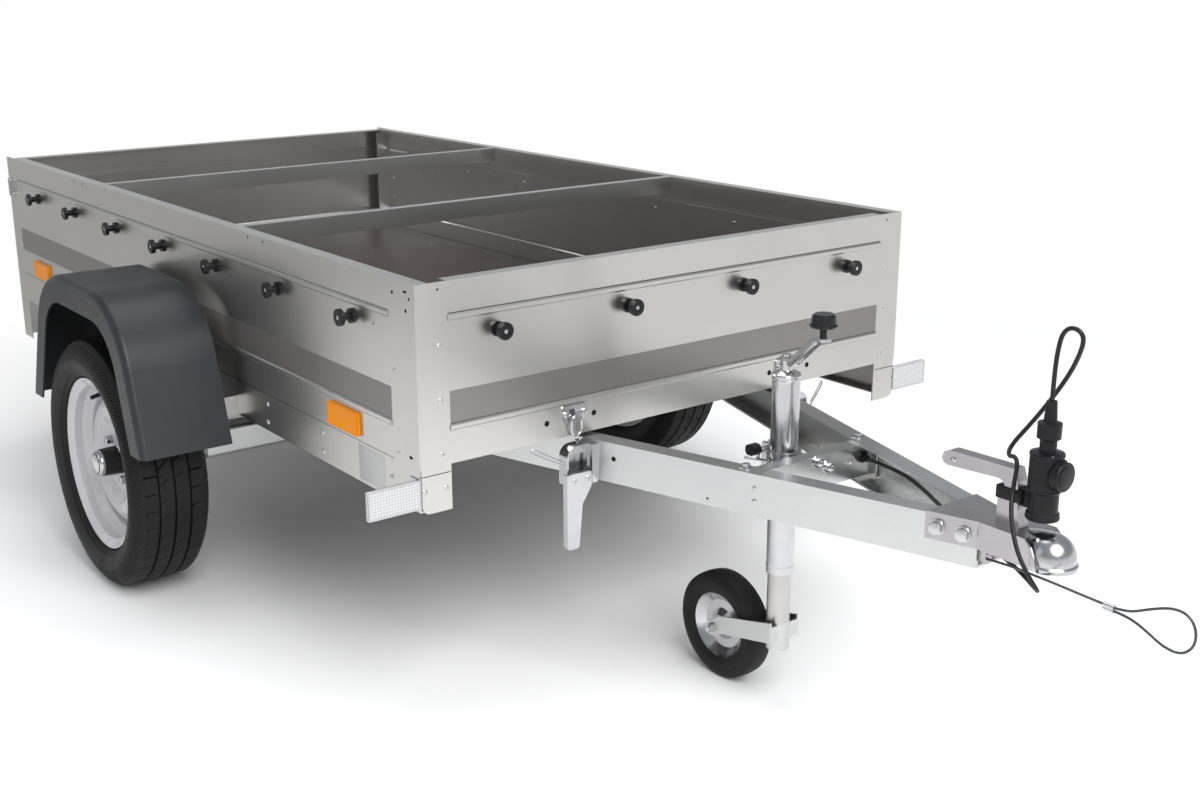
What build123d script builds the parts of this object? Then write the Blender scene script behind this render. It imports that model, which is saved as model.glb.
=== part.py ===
from build123d import *

import math
import os

# Single-axle utility trailer with a tipping load bed, in millimetres.
# X points forward, Y to the left and Z up. The origin is on the ground, below the middle of the trailer.
# "Drop" is a distance below the top edge of the walls, "behind" and "ahead" are measured from the front panel.

# ---------------------------------------------------------------- overall sizes
BED_WIDTH = 1140.0          # outside of the two side walls
SIDE_LENGTH = 2050.0        # front panel to the rear edge of a side wall
TOP_Z = 793.0               # top edge of the walls above the ground
NOSE_AHEAD = 832.0          # tip of the coupling
LAMP_OUT = 80.0             # rear face of the tail lamps behind the side walls
LAMP_BEHIND = SIDE_LENGTH + LAMP_OUT
FRONT_X = (LAMP_BEHIND - NOSE_AHEAD) / 2
HALF_W = BED_WIDTH / 2

# ---------------------------------------------------------------- load bed
SHEET = 2.5                 # folded steel sheet
SEAM_DROP = 307.0           # bottom edge of the side panels
RAIL_HEIGHT = 75.0          # side rails of the frame
RAIL_FLANGE = 25.0
TOP_FOLD = 26.0             # inward fold along the top edge
FOLD_RETURN = 10.0          # depth of the fold's down-turned lip
BEAD_DROPS = (60.0, 245.0)  # pressed beads along every wall
BEAD_HEIGHT = 12.0
BEAD_PROUD = 3.0
SIDE_BEAD_INSET = 84.0      # end of a side bead behind the front edge
REAR_BEAD_INSET = 12.0
POST_FACE = 60.0            # front face of a corner post
POST_FLANGE = 42.0          # side flange of a front post
POST_FOOT_DROP = 386.0      # bottom edge of the front posts
REAR_POST_WIDTH = 62.0      # side face of a rear post
REAR_POST_LIP = 40.0        # inward flange of a rear post
REAR_POST_DROP = 490.0      # bottom edge of the rear posts
FLOOR_DROP = 297.0          # top face of the floor
PLYWOOD = 9.0
CROSS_BAR_BEHIND = (680.0, 1420.0)
CROSS_BAR_DEPTH = 38.0
CROSS_BAR_FOLD = 22.0
BEAM_FROM_REAR = (750.0, 400.0, 60.0)
BEAM_WIDTH = 40.0
BEAM_HEIGHT = 45.0

# ---------------------------------------------------------------- tailgate
TAILGATE_DEPTH = 30.0
TAILGATE_GAP = 5.0
TAILGATE_PIVOT_IN = 6.0     # pins from the lower rear edge
TAILGATE_PIN_R = 3.5
TAILGATE_PIN_GRIP = 10.0    # length of a pin inside the tailgate's fold
HOOK_DROP = 83.0            # middle of the tailgate's hooks
HOOK_HEIGHT = 44.0
HOOK_WIDTH = 30.0
HOOK_PROUD = 9.0

# ---------------------------------------------------------------- running gear
AXLE_BEHIND = 1005.0        # wheel centres
TYRE_R = 266.0
TYRE_WIDTH = 166.0
TYRE_CROWN = 14.0           # tread's edge below the top of the tread
RIM_R = 184.0               # outside of the rim flange
RIM_WIDTH = 128.0           # over both flanges
RIM_WELL = 31.0             # depth of the drop centre
RIM_SLOTS = 10
DISC_SHEET = 5.0
WHEEL_OUT = 132.0           # wheel's middle plane outside the wall
HUB_FACE_OUT = 148.0        # hub's flange outside the wall
HUB_FLANGE_R = 66.0
HUB_NOSE = 40.0             # hub's nose through the disc
HUB_NOSE_R = 31.0
HUB_LENGTH = 70.0           # hub behind its flange
STUB_R = 14.2
BOLT_CIRCLE_R = 50.0
BOLT_HOLE_R = 6.5
TUBE_AHEAD = 120.0          # axle tube ahead of the wheel centres
TUBE_ABOVE = 42.0
TUBE_SIZE = 60.0
SWING_ARM = 24.0            # thickness of the swing arms
SWING_ARM_OUT = 34.0        # outer face of the swing arms outside the wall
BRACKET_LENGTH = 90.0

GUARD_OFF = 28.0            # mudguard's inner edge from the wall
GUARD_WIDTH = 188.0
GUARD_WALL = 4.0
GUARD_TOP_DROP = 134.0
GUARD_FRONT = (237.0, 325.0)    # front face from the wheel centre, at the top and at its foot
GUARD_REAR = (206.0, 335.0)
GUARD_FRONT_Z = 361.0       # lower edge at the front
GUARD_REAR_Z = 351.0        # lower edge at the rear
GUARD_ROUND = 180.0
GUARD_EDGE = 14.0           # rounding between top and outer face
GUARD_LIP = 58.0            # depth of the outer face round the arch
STAY_DROPS = (344.0, 380.0) # mudguard's steel stays on the side rails
STAY_SHEET = 4.0
STAY_REACH = 125.0

# ---------------------------------------------------------------- drawbar
ARM_HEIGHT = 72.0
ARM_FLANGE = 36.0
ARM_WALL = 4.0
ARM_TAPER = 0.31            # sideways run of an arm for each millimetre of length
ARM_SPREAD = 246.0          # arm's web from the middle, at the front panel
ARM_GAP = 6.0               # below the floor
ARM_END_AHEAD = 690.0
ARM_MEET = 1.0              # half the slot between the arms' lips
PIVOT_BEHIND = 825.0
PIVOT_R = 8.0
PIVOT_HEAD = 8.0            # pin inside the arm's web
PIN_FIT = 0.05

CROSS_AHEAD = 325.0         # front face of the cross member
CROSS_FLANGE = 27.0
CROSS_HEIGHT = 58.0
CROSS_SHEET = 4.0
CROSS_EAR = 25.0            # end flanges along the arms
CROSS_HOLE = (86.0, 337.5)  # sideways place and drop of the hole in its web
CROSS_HOLE_R = 12.0

# ---------------------------------------------------------------- coupling
BALL_R = 25.0
BALL_FIT = 0.5
BALL_DROP = 343.0
DOME_R = 36.0
NOSE_TUCK = 1.0             # side plates' nose inside the ring
CUP_LIP = 3.0               # rim around the mouth of the cup
LIP_DEPTH = 6.0
CUP_DEPTH = 10.0            # mouth of the cup below the ball's middle
DOME_RISE = 40.0            # top of the dome above the ball's middle
COUPLING_SHEET = 3.0
COUPLING_REAR = 613.0       # rear edge of the coupling's plates
COUPLING_SIDE = 43.0        # height of the side plates
COUPLING_FIT = 0.3
BALL_AHEAD = NOSE_AHEAD - DOME_R - CUP_LIP
LUG_AHEAD = 703.0           # front face of the lug for the safety cable
LUG_IN = 21.0               # lug's middle to the right of the coupling's middle

LEVER_WIDTH = 22.0
LEVER_SHEET = 2.0
FINGER_R = 14.0             # finger notch between grip and neck

# ---------------------------------------------------------------- jockey wheel
JOCKEY_AHEAD = 256.0
JOCKEY_TUBE_R = 24.0
JOCKEY_LEG_R = 20.7
LEG_FIT = 0.4
JOCKEY_TOP_DROP = 160.0     # top of the cap
JOCKEY_SHOULDER_DROP = 187.0
JOCKEY_CAP_R = 10.5
JOCKEY_TUBE_DROP = 543.0    # lower end of the outer tube
JOCKEY_LEG_FOOT = 106.0     # lower end of the fork's tube above the ground
FORK_TUBE = 50.0            # length of the fork's tube below the inner tube
SPIGOT_R = 15.0             # inner tube's spigot in the fork's tube
SPIGOT_END = 4.0
LEG_IN_TUBE = 190.0
JOCKEY_TRAIL = 134.0
JOCKEY_R = 101.0
JOCKEY_RIM_R = 61.6
JOCKEY_WIDTH = 50.0
FORK_STRIP = 4.0
FORK_GAP = 6.0
FORK_PIN_R = 6.0
CRANK_SHEET = 5.0
CRANK_WIDTH = 22.0
CRANK_REACH = 80.0
CRANK_LIFT = 48.0           # rise of the crank from the cap to the knob
KNOB_HEIGHT = 41.0          # stem and head of the crank's knob
KNOB_R = 20.0
CLAMP_TOP_DROP = 320.0
CLAMP_HEIGHT = 52.0
CLAMP_WALL = 5.0
SCREW_R = 5.0
GRIP_OUT = 40.0             # middle of the clamp's grip to the right of the tube's middle
GRIP_THICK = 18.0

# ---------------------------------------------------------------- toggle latches
LATCH_OUT = 257.0           # middle of a latch from the trailer's middle
KEEPER_DROP = 252.0
KEEPER_HEIGHT = 30.0
KEEPER_WIDTH = 56.0
LINK_DROP = 268.0           # top of the oval link
LINK_LENGTH = 40.0
LINK_WIDTH = 26.0
LINK_R = 2.2
LINK_OUT = 8.0              # link's plane ahead of the front panel
LATCH_WIDTH = 46.0
LATCH_OFFSET = 12.0         # latch's body outside its link
LATCH_DROP = 318.0          # top of the latch's body
LATCH_BODY = 70.0
LATCH_GAP = 5.0             # draw hook below the link
HANDLE_END_DROP = 502.0
HANDLE_WIDTH = 53.0

# ---------------------------------------------------------------- plug and cords
NECK_AHEAD = 736.0          # front of the lever's neck
PLUG_OUT = 37.0             # plug's middle ahead of the neck
PLUG_AHEAD = NECK_AHEAD + PLUG_OUT
PLUG_FOOT_R = 21.0
PLUG_FOOT_DROPS = (249.0, 275.0)
NECK_LEAN = 3.0             # the neck's foot ahead of its upper part
LEAD_R = 3.25
CABLE_R = 2.0
FERRULE_LENGTH = 16.0
FERRULE_FRONT = 41.0        # ferrule's front face along the cable's straight strand
STRAND_GAP = 4.6            # between the two strands' middles
CORNER_SHARE = 0.45         # share of a cord's run that an arc may take

# ---------------------------------------------------------------- fittings
SIDE_KNOB_FIRST = 207.0     # from the front edge
SIDE_KNOB_LAST = 178.0      # from the rear edge
SIDE_KNOBS = 7
SIDE_KNOB_DROP = 86.0
FRONT_KNOB_Y = (-415.0, -138.0, 138.0, 415.0)
FRONT_KNOB_DROP = 92.0
SIDE_REFLECTOR_BEHIND = (250.0, 1890.0)
SIDE_REFLECTOR = (106.0, 6.0, 42.0)
SIDE_REFLECTOR_DROP = 278.0
FRONT_REFLECTOR = (5.0, 98.0, 50.0)
FRONT_REFLECTOR_DROP = 349.0
LAMP_WIDTH = 197.0
LAMP_DROPS = (390.0, 485.0)
LAMP_ROUND = 12.0
LAMP_BAR_DROP = 320.0


# ---------------------------------------------------------------- helpers
def block(x0, x1, y0, y1, z0, z1):
    """Box between two corners."""
    return Pos((x0 + x1) / 2, (y0 + y1) / 2, (z0 + z1) / 2) * Box(abs(x1 - x0), abs(y1 - y0), abs(z1 - z0))


def rod(start, end, radius):
    """Round bar between two points."""
    start, end = Vector(*start), Vector(*end)
    run = end - start
    return extrude(Plane(origin=start, z_dir=run) * Circle(radius), run.length)


def left_of(shape):
    """Mirror image on the left side."""
    return mirror(shape, about=Plane.XZ)


def pair(shape):
    """A right-hand piece and its mirror image."""
    return Compound(children=[shape, left_of(shape)])


def behind(distance):
    """X of a place behind the front panel."""
    return FRONT_X - distance


def ahead(distance):
    """X of a place ahead of the front panel."""
    return FRONT_X + distance


def drop(distance):
    """Z of a place below the top edge."""
    return TOP_Z - distance


def along_x(outline, x0, x1):
    """Prism along X on a closed outline of (y, z)."""
    return extrude(make_face(Polyline(*[(x0, y, z) for y, z in outline], close=True)), x1 - x0, dir=(1, 0, 0))


def along_y(outline, y0, y1):
    """Prism along Y on a closed outline of (x, z)."""
    return extrude(make_face(Polyline(*[(x, y0, z) for x, z in outline], close=True)), y1 - y0, dir=(0, 1, 0))


def along_z(outline, z0, z1):
    """Prism along Z on a closed outline of (x, y)."""
    return extrude(make_face(Polyline(*[(x, y, z0) for x, y in outline], close=True)), z1 - z0, dir=(0, 0, 1))


def ahead_outline(points):
    """Outline of (ahead, drop) places as (x, z)."""
    return [(ahead(a), drop(d)) for a, d in points]


def turned(points, centre, axis):
    """Body of revolution; points are (along the axis, radius) from the centre."""
    plane = Plane(origin=centre, x_dir=axis, z_dir=(1, 0, 0))
    return revolve(plane * make_face(Polyline(*points, close=True)), Axis(centre, axis), 360)


def turned_upright(rows, x):
    """Body of revolution about an upright axis at x; rows are (height, radius)."""
    return revolve(make_face(Polyline(*[(x + radius, 0, z) for z, radius in rows], close=True)),
                   Axis((x, 0, 0), (0, 0, 1)), 360)


# ---------------------------------------------------------------- load bed
def bead(face, out, z):
    """Ridge and groove outlines of one pressed bead on a sheet whose outer face is at face."""
    half = BEAD_HEIGHT / 2
    tip = face + out * BEAD_PROUD
    back = face - out * SHEET
    root = back + out * BEAD_PROUD
    ridge = [(face, z - half), (tip, z - half / 2), (tip, z + half / 2), (face, z + half)]
    groove = [(back, z - half * 0.8), (root, z - half * 0.3), (root, z + half * 0.3), (back, z + half * 0.8)]
    return ridge, groove


def side_wall():
    """Right side wall: a pressed sheet with an inward fold along its top."""
    x0, x1 = behind(SIDE_LENGTH), FRONT_X
    fold_y = -HALF_W + TOP_FOLD
    wall = block(x0, x1, -HALF_W, -HALF_W + SHEET, drop(SEAM_DROP), TOP_Z)
    wall += block(x0, x1 - SHEET, -HALF_W, fold_y, TOP_Z - SHEET, TOP_Z)
    wall += block(x0, x1 - SHEET, fold_y - SHEET, fold_y, TOP_Z - FOLD_RETURN, TOP_Z)
    start, end = x0 + REAR_BEAD_INSET, x1 - SIDE_BEAD_INSET
    for bead_drop in BEAD_DROPS:
        ridge, groove = bead(-HALF_W, -1, drop(bead_drop))
        wall += along_x(ridge, start, end)
        wall -= along_x(groove, start + BEAD_PROUD, end - BEAD_PROUD)
    return wall


def front_panel():
    """Front wall between the corner posts, with a fold along its top."""
    half = HALF_W - POST_FACE
    wall = block(FRONT_X - SHEET, FRONT_X, -half, half, drop(SEAM_DROP), TOP_Z)
    wall += block(FRONT_X - TOP_FOLD, FRONT_X, -half, half, TOP_Z - SHEET, TOP_Z)
    for bead_drop in BEAD_DROPS:
        ridge, groove = bead(FRONT_X, 1, drop(bead_drop))
        wall += along_y(ridge, -half, half)
        wall -= along_y(groove, -half, half)
    return wall


def front_post():
    """Right front corner post: front face and side flange of one folded sheet."""
    y0 = -HALF_W + SHEET
    post = block(FRONT_X - SHEET, FRONT_X, y0, -HALF_W + POST_FACE, drop(POST_FOOT_DROP), TOP_Z)
    post += block(FRONT_X - POST_FLANGE, FRONT_X - SHEET, y0, y0 + SHEET, drop(SEAM_DROP), TOP_Z - FOLD_RETURN)
    foot = post.edges().filter_by(Axis.X).group_by(Axis.Z)[0].sort_by(Axis.Y)[0]
    return fillet(foot, POST_FACE / 4)


def rear_post():
    """Right rear corner post with the tailgate's pin; it runs down past the rail to carry the tail lamp."""
    x1 = behind(SIDE_LENGTH)
    x0 = x1 - REAR_POST_WIDTH
    lip_y = -HALF_W + REAR_POST_LIP
    post = block(x0, x1, -HALF_W, -HALF_W + SHEET, drop(REAR_POST_DROP), TOP_Z)
    post += block(x1, x1 + SHEET, -HALF_W + SHEET, lip_y, drop(FLOOR_DROP), TOP_Z - FOLD_RETURN)
    post += block(x1 - SHEET, x1, -HALF_W, lip_y, drop(FLOOR_DROP), TOP_Z - FOLD_RETURN)
    x, z = tailgate_axis()
    return post + rod((x, -HALF_W + SHEET, z), (x, -HALF_W + SHEET + TAILGATE_GAP + TAILGATE_PIN_GRIP, z),
                      TAILGATE_PIN_R)


def side_rail():
    """Right side rail of the frame, a C-section open to the inside, with the tipping pin and mudguard stays."""
    z1 = drop(SEAM_DROP)
    z0 = z1 - RAIL_HEIGHT
    x0, x1 = behind(SIDE_LENGTH), FRONT_X - SHEET
    rail = block(x0, x1, -HALF_W, -HALF_W + RAIL_FLANGE, z0, z1)
    rail -= block(x0, x1, -HALF_W + SHEET, -HALF_W + RAIL_FLANGE, z0 + SHEET, z1 - SHEET)
    for edge, foot in ((GUARD_FRONT, GUARD_FRONT_Z), (GUARD_REAR, GUARD_REAR_Z)):
        outline = [(guard_x(edge, foot, drop(d), inset), drop(d))
                   for d, inset in ((STAY_DROPS[0], GUARD_WALL), (STAY_DROPS[1], GUARD_WALL),
                                    (STAY_DROPS[1], GUARD_WALL + STAY_SHEET), (STAY_DROPS[0], GUARD_WALL + STAY_SHEET))]
        rail += along_y(outline, -HALF_W - STAY_REACH, -HALF_W)
    px, pz = behind(PIVOT_BEHIND), pivot_z()
    return rail + rod((px, -HALF_W, pz), (px, -arm_y(-PIVOT_BEHIND) + ARM_WALL + PIVOT_HEAD, pz), PIVOT_R)


def floor_panel():
    """Plywood floor between the walls."""
    z1 = drop(FLOOR_DROP)
    half = HALF_W - 2 * SHEET
    return block(behind(SIDE_LENGTH) + SHEET, FRONT_X - SHEET, -half, half, z1 - PLYWOOD, z1)


def floor_beams():
    """Cross-members under the rear half of the floor, C-sections open to the front."""
    z1 = drop(FLOOR_DROP) - PLYWOOD
    z0 = z1 - BEAM_HEIGHT
    half = HALF_W - RAIL_FLANGE
    beams = []
    for from_rear in BEAM_FROM_REAR:
        x = behind(SIDE_LENGTH - from_rear)
        x0, x1 = x - BEAM_WIDTH / 2, x + BEAM_WIDTH / 2
        beams.append(block(x0, x1, -half, half, z0, z1) - block(x0 + SHEET, x1, -half, half, z0 + SHEET, z1 - SHEET))
    return Compound(children=beams)


def cross_bars():
    """Folded bars across the top of the bed."""
    half = HALF_W - TOP_FOLD
    bars = []
    for distance in CROSS_BAR_BEHIND:
        x = behind(distance)
        bar = block(x - CROSS_BAR_FOLD, x, -half, half, TOP_Z - SHEET, TOP_Z)
        bars.append(bar + block(x - SHEET, x, -half, half, TOP_Z - CROSS_BAR_DEPTH, TOP_Z))
    return Compound(children=bars)


def tailgate_axis():
    """X and Z of the tailgate's hinge."""
    x = behind(SIDE_LENGTH) - SHEET - TAILGATE_GAP - TAILGATE_DEPTH + TAILGATE_PIVOT_IN
    return x, drop(FLOOR_DROP) + TAILGATE_GAP + TAILGATE_PIVOT_IN


def tailgate():
    """Bottom-hinged tailgate: a beaded sheet with folds all round."""
    x1 = behind(SIDE_LENGTH) - SHEET - TAILGATE_GAP
    x0 = x1 - TAILGATE_DEPTH
    half = HALF_W - SHEET - TAILGATE_GAP
    z0, z1 = drop(FLOOR_DROP) + TAILGATE_GAP, TOP_Z - SHEET
    gate = block(x0, x1, -half, half, z0, z1)
    gate -= block(x0 + SHEET, x1, -half + SHEET, half - SHEET, z0 + SHEET, z1 - SHEET)
    for bead_drop in BEAD_DROPS:
        ridge, groove = bead(x0, -1, drop(bead_drop))
        gate += along_y(ridge, -half, half)
        gate -= along_y(groove, -half + SHEET, half - SHEET)
    x, z = tailgate_axis()
    return gate - rod((x, -half - 1, z), (x, half + 1, z), TAILGATE_PIN_R + PIN_FIT)


def tailgate_hook():
    """Right hook lever on the rear post that holds the tailgate shut."""
    x1 = behind(SIDE_LENGTH) - (REAR_POST_WIDTH - HOOK_WIDTH) / 2
    x0 = x1 - HOOK_WIDTH
    z0 = drop(HOOK_DROP) - HOOK_HEIGHT / 2
    y = -HALF_W
    plate = block(x0, x1, y - 2, y, z0, z0 + HOOK_HEIGHT)
    lever = block(x0 + 4, x0 + 14, y - HOOK_PROUD, y - 2, z0 + 4, z0 + HOOK_HEIGHT + 6)
    lever = fillet(lever.edges().filter_by(Axis.Y), 4)
    boss = rod((x0 + 20, y - 6, z0 + 10), (x0 + 20, y - 2, z0 + 10), 6)
    return plate + lever + boss


def guard_x(edge, foot, z, inset=0.0):
    """X of the mudguard's front or rear face at a height; edge is its reach at the top and at its foot."""
    lean = (edge[1] - edge[0]) / (drop(GUARD_TOP_DROP) - foot)
    reach = edge[0] + lean * (drop(GUARD_TOP_DROP) - z) - inset * math.sqrt(1 + lean ** 2)
    return behind(AXLE_BEHIND) + (reach if edge is GUARD_FRONT else -reach)


def mudguard():
    """Right mudguard, moulded, with an open arch in its outer face."""
    top = drop(GUARD_TOP_DROP)

    def arch(inset, front_foot, rear_foot, y0, y1):
        high = top - inset
        outline = [(guard_x(GUARD_FRONT, GUARD_FRONT_Z, front_foot, inset), front_foot),
                   (guard_x(GUARD_FRONT, GUARD_FRONT_Z, high, inset), high),
                   (guard_x(GUARD_REAR, GUARD_REAR_Z, high, inset), high),
                   (guard_x(GUARD_REAR, GUARD_REAR_Z, rear_foot, inset), rear_foot)]
        body = along_y(outline, y0, y1)
        return fillet(body.edges().filter_by(Axis.Y).sort_by(Axis.Z)[2:], GUARD_ROUND - inset)

    def soften(body, radius):
        return fillet(body.faces().sort_by(Axis.Y)[0].edges().sort_by(Axis.Z)[1:], radius)

    y1 = -HALF_W - GUARD_OFF
    y0 = y1 - GUARD_WIDTH
    below = GUARD_REAR_Z - 40
    outer = soften(arch(0, GUARD_FRONT_Z, GUARD_REAR_Z, y0, y1), GUARD_EDGE)
    inner = soften(arch(GUARD_WALL, below, below, y0 + GUARD_WALL, y1 + 1), GUARD_EDGE - GUARD_WALL)
    opening = arch(GUARD_LIP, below, below, y0 - 1, y0 + GUARD_WALL + 1)
    return outer - inner - opening


# ---------------------------------------------------------------- running gear
def wheel_centre():
    """Centre of the right wheel."""
    return Vector(behind(AXLE_BEHIND), -HALF_W - WHEEL_OUT, TYRE_R)


def tyre(radius, width, bead_point, lip, centre, crown):
    """Tyre turned about its axle; bead_point and lip are (half width, radius) of its foot on the rim."""
    h = width / 2
    middle = (lip[1] + radius) / 2
    pts = [bead_point, lip, (h, middle), (h * 0.88, radius - crown), (h * 0.74, radius - 2), (0, radius)]
    left = [(-y, r) for y, r in pts]
    outline = Line(pts[0], pts[1]) + ThreePointArc(pts[1], pts[2], pts[3]) + Line(pts[3], pts[4])
    outline += ThreePointArc(pts[4], pts[5], left[4]) + Line(left[4], left[3])
    outline += ThreePointArc(left[3], left[2], left[1]) + Line(left[1], left[0]) + Line(left[0], pts[0])
    plane = Plane(origin=centre, x_dir=(0, 1, 0), z_dir=(1, 0, 0))
    return revolve(plane * make_face(outline), Axis(centre, (0, 1, 0)), 360)


def road_tyre():
    """Right road tyre, seated between the rim's flanges."""
    half = RIM_WIDTH / 2
    return tyre(TYRE_R, TYRE_WIDTH, (half - 14, RIM_R - 13.5), (half - 5.5, RIM_R + 1), wheel_centre(), TYRE_CROWN)


def rim():
    """Pressed steel rim: flanges, drop centre and a dished disc with slots and bolt holes."""
    c = wheel_centre()
    h, r, t = RIM_WIDTH / 2, RIM_R, 4.0
    well = r - RIM_WELL
    seat = r - 16
    half_barrel = [(h, r), (h - t, r), (h - 12, seat + 2), (h - 28, seat), (22, well)]
    back = [(20, well - DISC_SHEET), (h - 26, seat - DISC_SHEET), (h - 10, seat - 3), (h, r - t)]
    barrel = [(-y, z) for y, z in reversed(back)]
    barrel = half_barrel + [(-y, z) for y, z in reversed(half_barrel)] + [(-y, z) for y, z in reversed(back)] + back
    body = turned(barrel, c, (0, 1, 0))
    face = WHEEL_OUT - HUB_FACE_OUT
    edge = well - DISC_SHEET
    bore = HUB_NOSE_R + 1
    disc = [(face, bore), (face, 70), (face - 16, 96), (face - 14, 116), (face + 6, edge), (face + 14, edge),
            (face + 12, edge - 4), (face - 6, 119), (face - 10, 92), (face + DISC_SHEET, 66), (face + DISC_SHEET, bore)]
    body += turned(disc, c, (0, 1, 0))
    cutters = []
    for i in range(RIM_SLOTS):
        slot = Pos(0, face, well - 18) * Box(30, 60, 10)
        slot = fillet(slot.edges().filter_by(Axis.Y), 4.5)
        cutters.append(Pos(c.X, c.Y, c.Z) * Rot(0, i * 360 / RIM_SLOTS, 0) * slot)
    for i in range(4):
        a = math.radians(45 + 90 * i)
        x, z = c.X + BOLT_CIRCLE_R * math.cos(a), c.Z + BOLT_CIRCLE_R * math.sin(a)
        cutters.append(rod((x, c.Y + face - 10, z), (x, c.Y + face + 15, z), BOLT_HOLE_R))
    return body - cutters


def hub():
    """Hub with its flange behind the disc, and the grease cap pressed on its nose."""
    c = wheel_centre()
    face = WHEEL_OUT - HUB_FACE_OUT
    seat = face + DISC_SHEET + 0.3
    nose = face - HUB_NOSE
    body = [(seat, STUB_R), (seat, HUB_FLANGE_R), (seat + 11, HUB_FLANGE_R), (seat + 11, HUB_NOSE_R + 7),
            (face + HUB_LENGTH, HUB_NOSE_R + 3), (face + HUB_LENGTH, STUB_R)]
    neck = [(seat, STUB_R), (seat, HUB_NOSE_R), (nose, HUB_NOSE_R - 2), (nose, HUB_NOSE_R - 4),
            (nose + 14, STUB_R)]
    cap = [(nose, 0), (nose, HUB_NOSE_R - 4), (nose - 6, HUB_NOSE_R - 4), (nose - 12, HUB_NOSE_R - 9), (nose - 14, 0)]
    drum = turned(body, c, (0, 1, 0)) + turned(neck, c, (0, 1, 0))
    return Compound(children=[drum, turned(cap, c, (0, 1, 0))])


def swing_arm():
    """Right swing arm of the rubber suspension, with the stub axle that carries the hub."""
    c = wheel_centre()
    tx, tz = behind(AXLE_BEHIND) + TUBE_AHEAD, TYRE_R + TUBE_ABOVE
    y0 = -HALF_W - SWING_ARM_OUT
    y1 = y0 + SWING_ARM
    half = TUBE_SIZE / 2
    outline = [(c.X - 20, c.Z - 26), (tx + half - 10, tz - half - 2), (tx + half - 6, tz + half - 6),
               (c.X - 18, c.Z + 26)]
    arm_body = along_y(outline, y0, y1)
    arm_body = fillet(arm_body.edges().filter_by(Axis.Y), 16)
    face = c.Y + WHEEL_OUT - HUB_FACE_OUT
    stub = rod((c.X, y1, c.Z), (c.X, face - HUB_NOSE / 2, c.Z), STUB_R - PIN_FIT)
    collar = rod((c.X, y0, c.Z), (c.X, face + HUB_LENGTH + 0.5, c.Z), 26)
    return arm_body + stub + collar


def axle_tube():
    """Square tube of the rubber suspension, with its brackets under the rails."""
    x, z = behind(AXLE_BEHIND) + TUBE_AHEAD, TYRE_R + TUBE_ABOVE
    half = TUBE_SIZE / 2
    end = HALF_W + SWING_ARM_OUT - SWING_ARM
    tube = block(x - half, x + half, -end, end, z - half, z + half)
    tube = fillet(tube.edges().filter_by(Axis.Y), 8)
    z0, z1 = z + half, drop(SEAM_DROP) - RAIL_HEIGHT
    for side in (-1, 1):
        y0, y1 = side * HALF_W, side * (HALF_W - RAIL_FLANGE)
        foot = along_x([(y0, z0 - half / 2), (y0, z1), (side * (HALF_W - 5), z1), (side * (HALF_W - 5), z0 - half / 2)],
                       x - BRACKET_LENGTH / 2, x + BRACKET_LENGTH / 2)
        top = block(x - BRACKET_LENGTH / 2, x + BRACKET_LENGTH / 2, y0, y1, z1 - 5, z1)
        web = block(x - 3, x + 3, y0, y1, z0 - 2, z1)
        tube += foot + top + web
    return tube


# ---------------------------------------------------------------- drawbar
def pivot_z():
    """Height of the tipping pivot, half way up an arm."""
    return arm_top() - ARM_HEIGHT / 2


def arm_top():
    """Height of the arms' top."""
    return drop(FLOOR_DROP) - PLYWOOD - ARM_GAP


def arm_y(ahead_of_panel):
    """Outer face of an arm's web from the middle."""
    return ARM_SPREAD - ARM_TAPER * ahead_of_panel


def arm():
    """Right drawbar arm: a C-section open to the middle, from the pivot under the bed to the coupling."""
    z1 = arm_top()
    z0 = z1 - ARM_HEIGHT
    px, pz, r = behind(PIVOT_BEHIND), pivot_z(), ARM_HEIGHT / 2
    tail, tip = -PIVOT_BEHIND - r, ARM_END_AHEAD

    def strip(y_in, y_out, bottom, top):
        return along_z([(ahead(tail), -arm_y(tail) + y_out), (ahead(tip), -arm_y(tip) + y_out),
                        (ahead(tip), -arm_y(tip) + y_in), (ahead(tail), -arm_y(tail) + y_in)], bottom, top)

    body = strip(ARM_FLANGE, 0, z0, z1) - strip(ARM_FLANGE + 1, ARM_WALL, z0 + ARM_WALL, z1 - ARM_WALL)
    corner = block(px - r - 1, px, -HALF_W, 0, z0 - 1, z1 + 1) - rod((px, -HALF_W - 1, pz), (px, 1, pz), r)
    hole = rod((px, -HALF_W, pz), (px, -HALF_W / 2, pz), PIVOT_R + PIN_FIT)
    return body - corner - hole - block(ahead(0), ahead(tip) + 1, -ARM_MEET, HALF_W, z0 - 1, z1 + 1)


def cross_member():
    """Folded member bolted between the arms, which carries the jockey wheel's clamp."""
    x = ahead(CROSS_AHEAD)
    z1 = arm_top() - ARM_WALL
    z0 = z1 - CROSS_HEIGHT

    def inside(distance):
        return arm_y(distance) - ARM_WALL - COUPLING_FIT * 4

    rear = CROSS_AHEAD - CROSS_FLANGE
    half, half_rear = inside(CROSS_AHEAD), inside(rear)
    flange = along_z([(x, -half), (x, half), (ahead(rear), half_rear), (ahead(rear), -half_rear)], z1 - CROSS_SHEET, z1)
    member = flange + block(x - CROSS_SHEET, x, -half, half, z0, z1)
    front = CROSS_AHEAD + CROSS_EAR
    ear = [(x, -half), (ahead(front), -inside(front)), (ahead(front), -inside(front) + CROSS_SHEET),
           (x, -half + CROSS_SHEET)]
    ear = along_z(ear, z0 + 4, z1 - CROSS_SHEET - 4)
    member += ear + left_of(ear)
    y, hole_drop = CROSS_HOLE
    return member - rod((x - 10, y, drop(hole_drop)), (x + 10, y, drop(hole_drop)), CROSS_HOLE_R)


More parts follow.
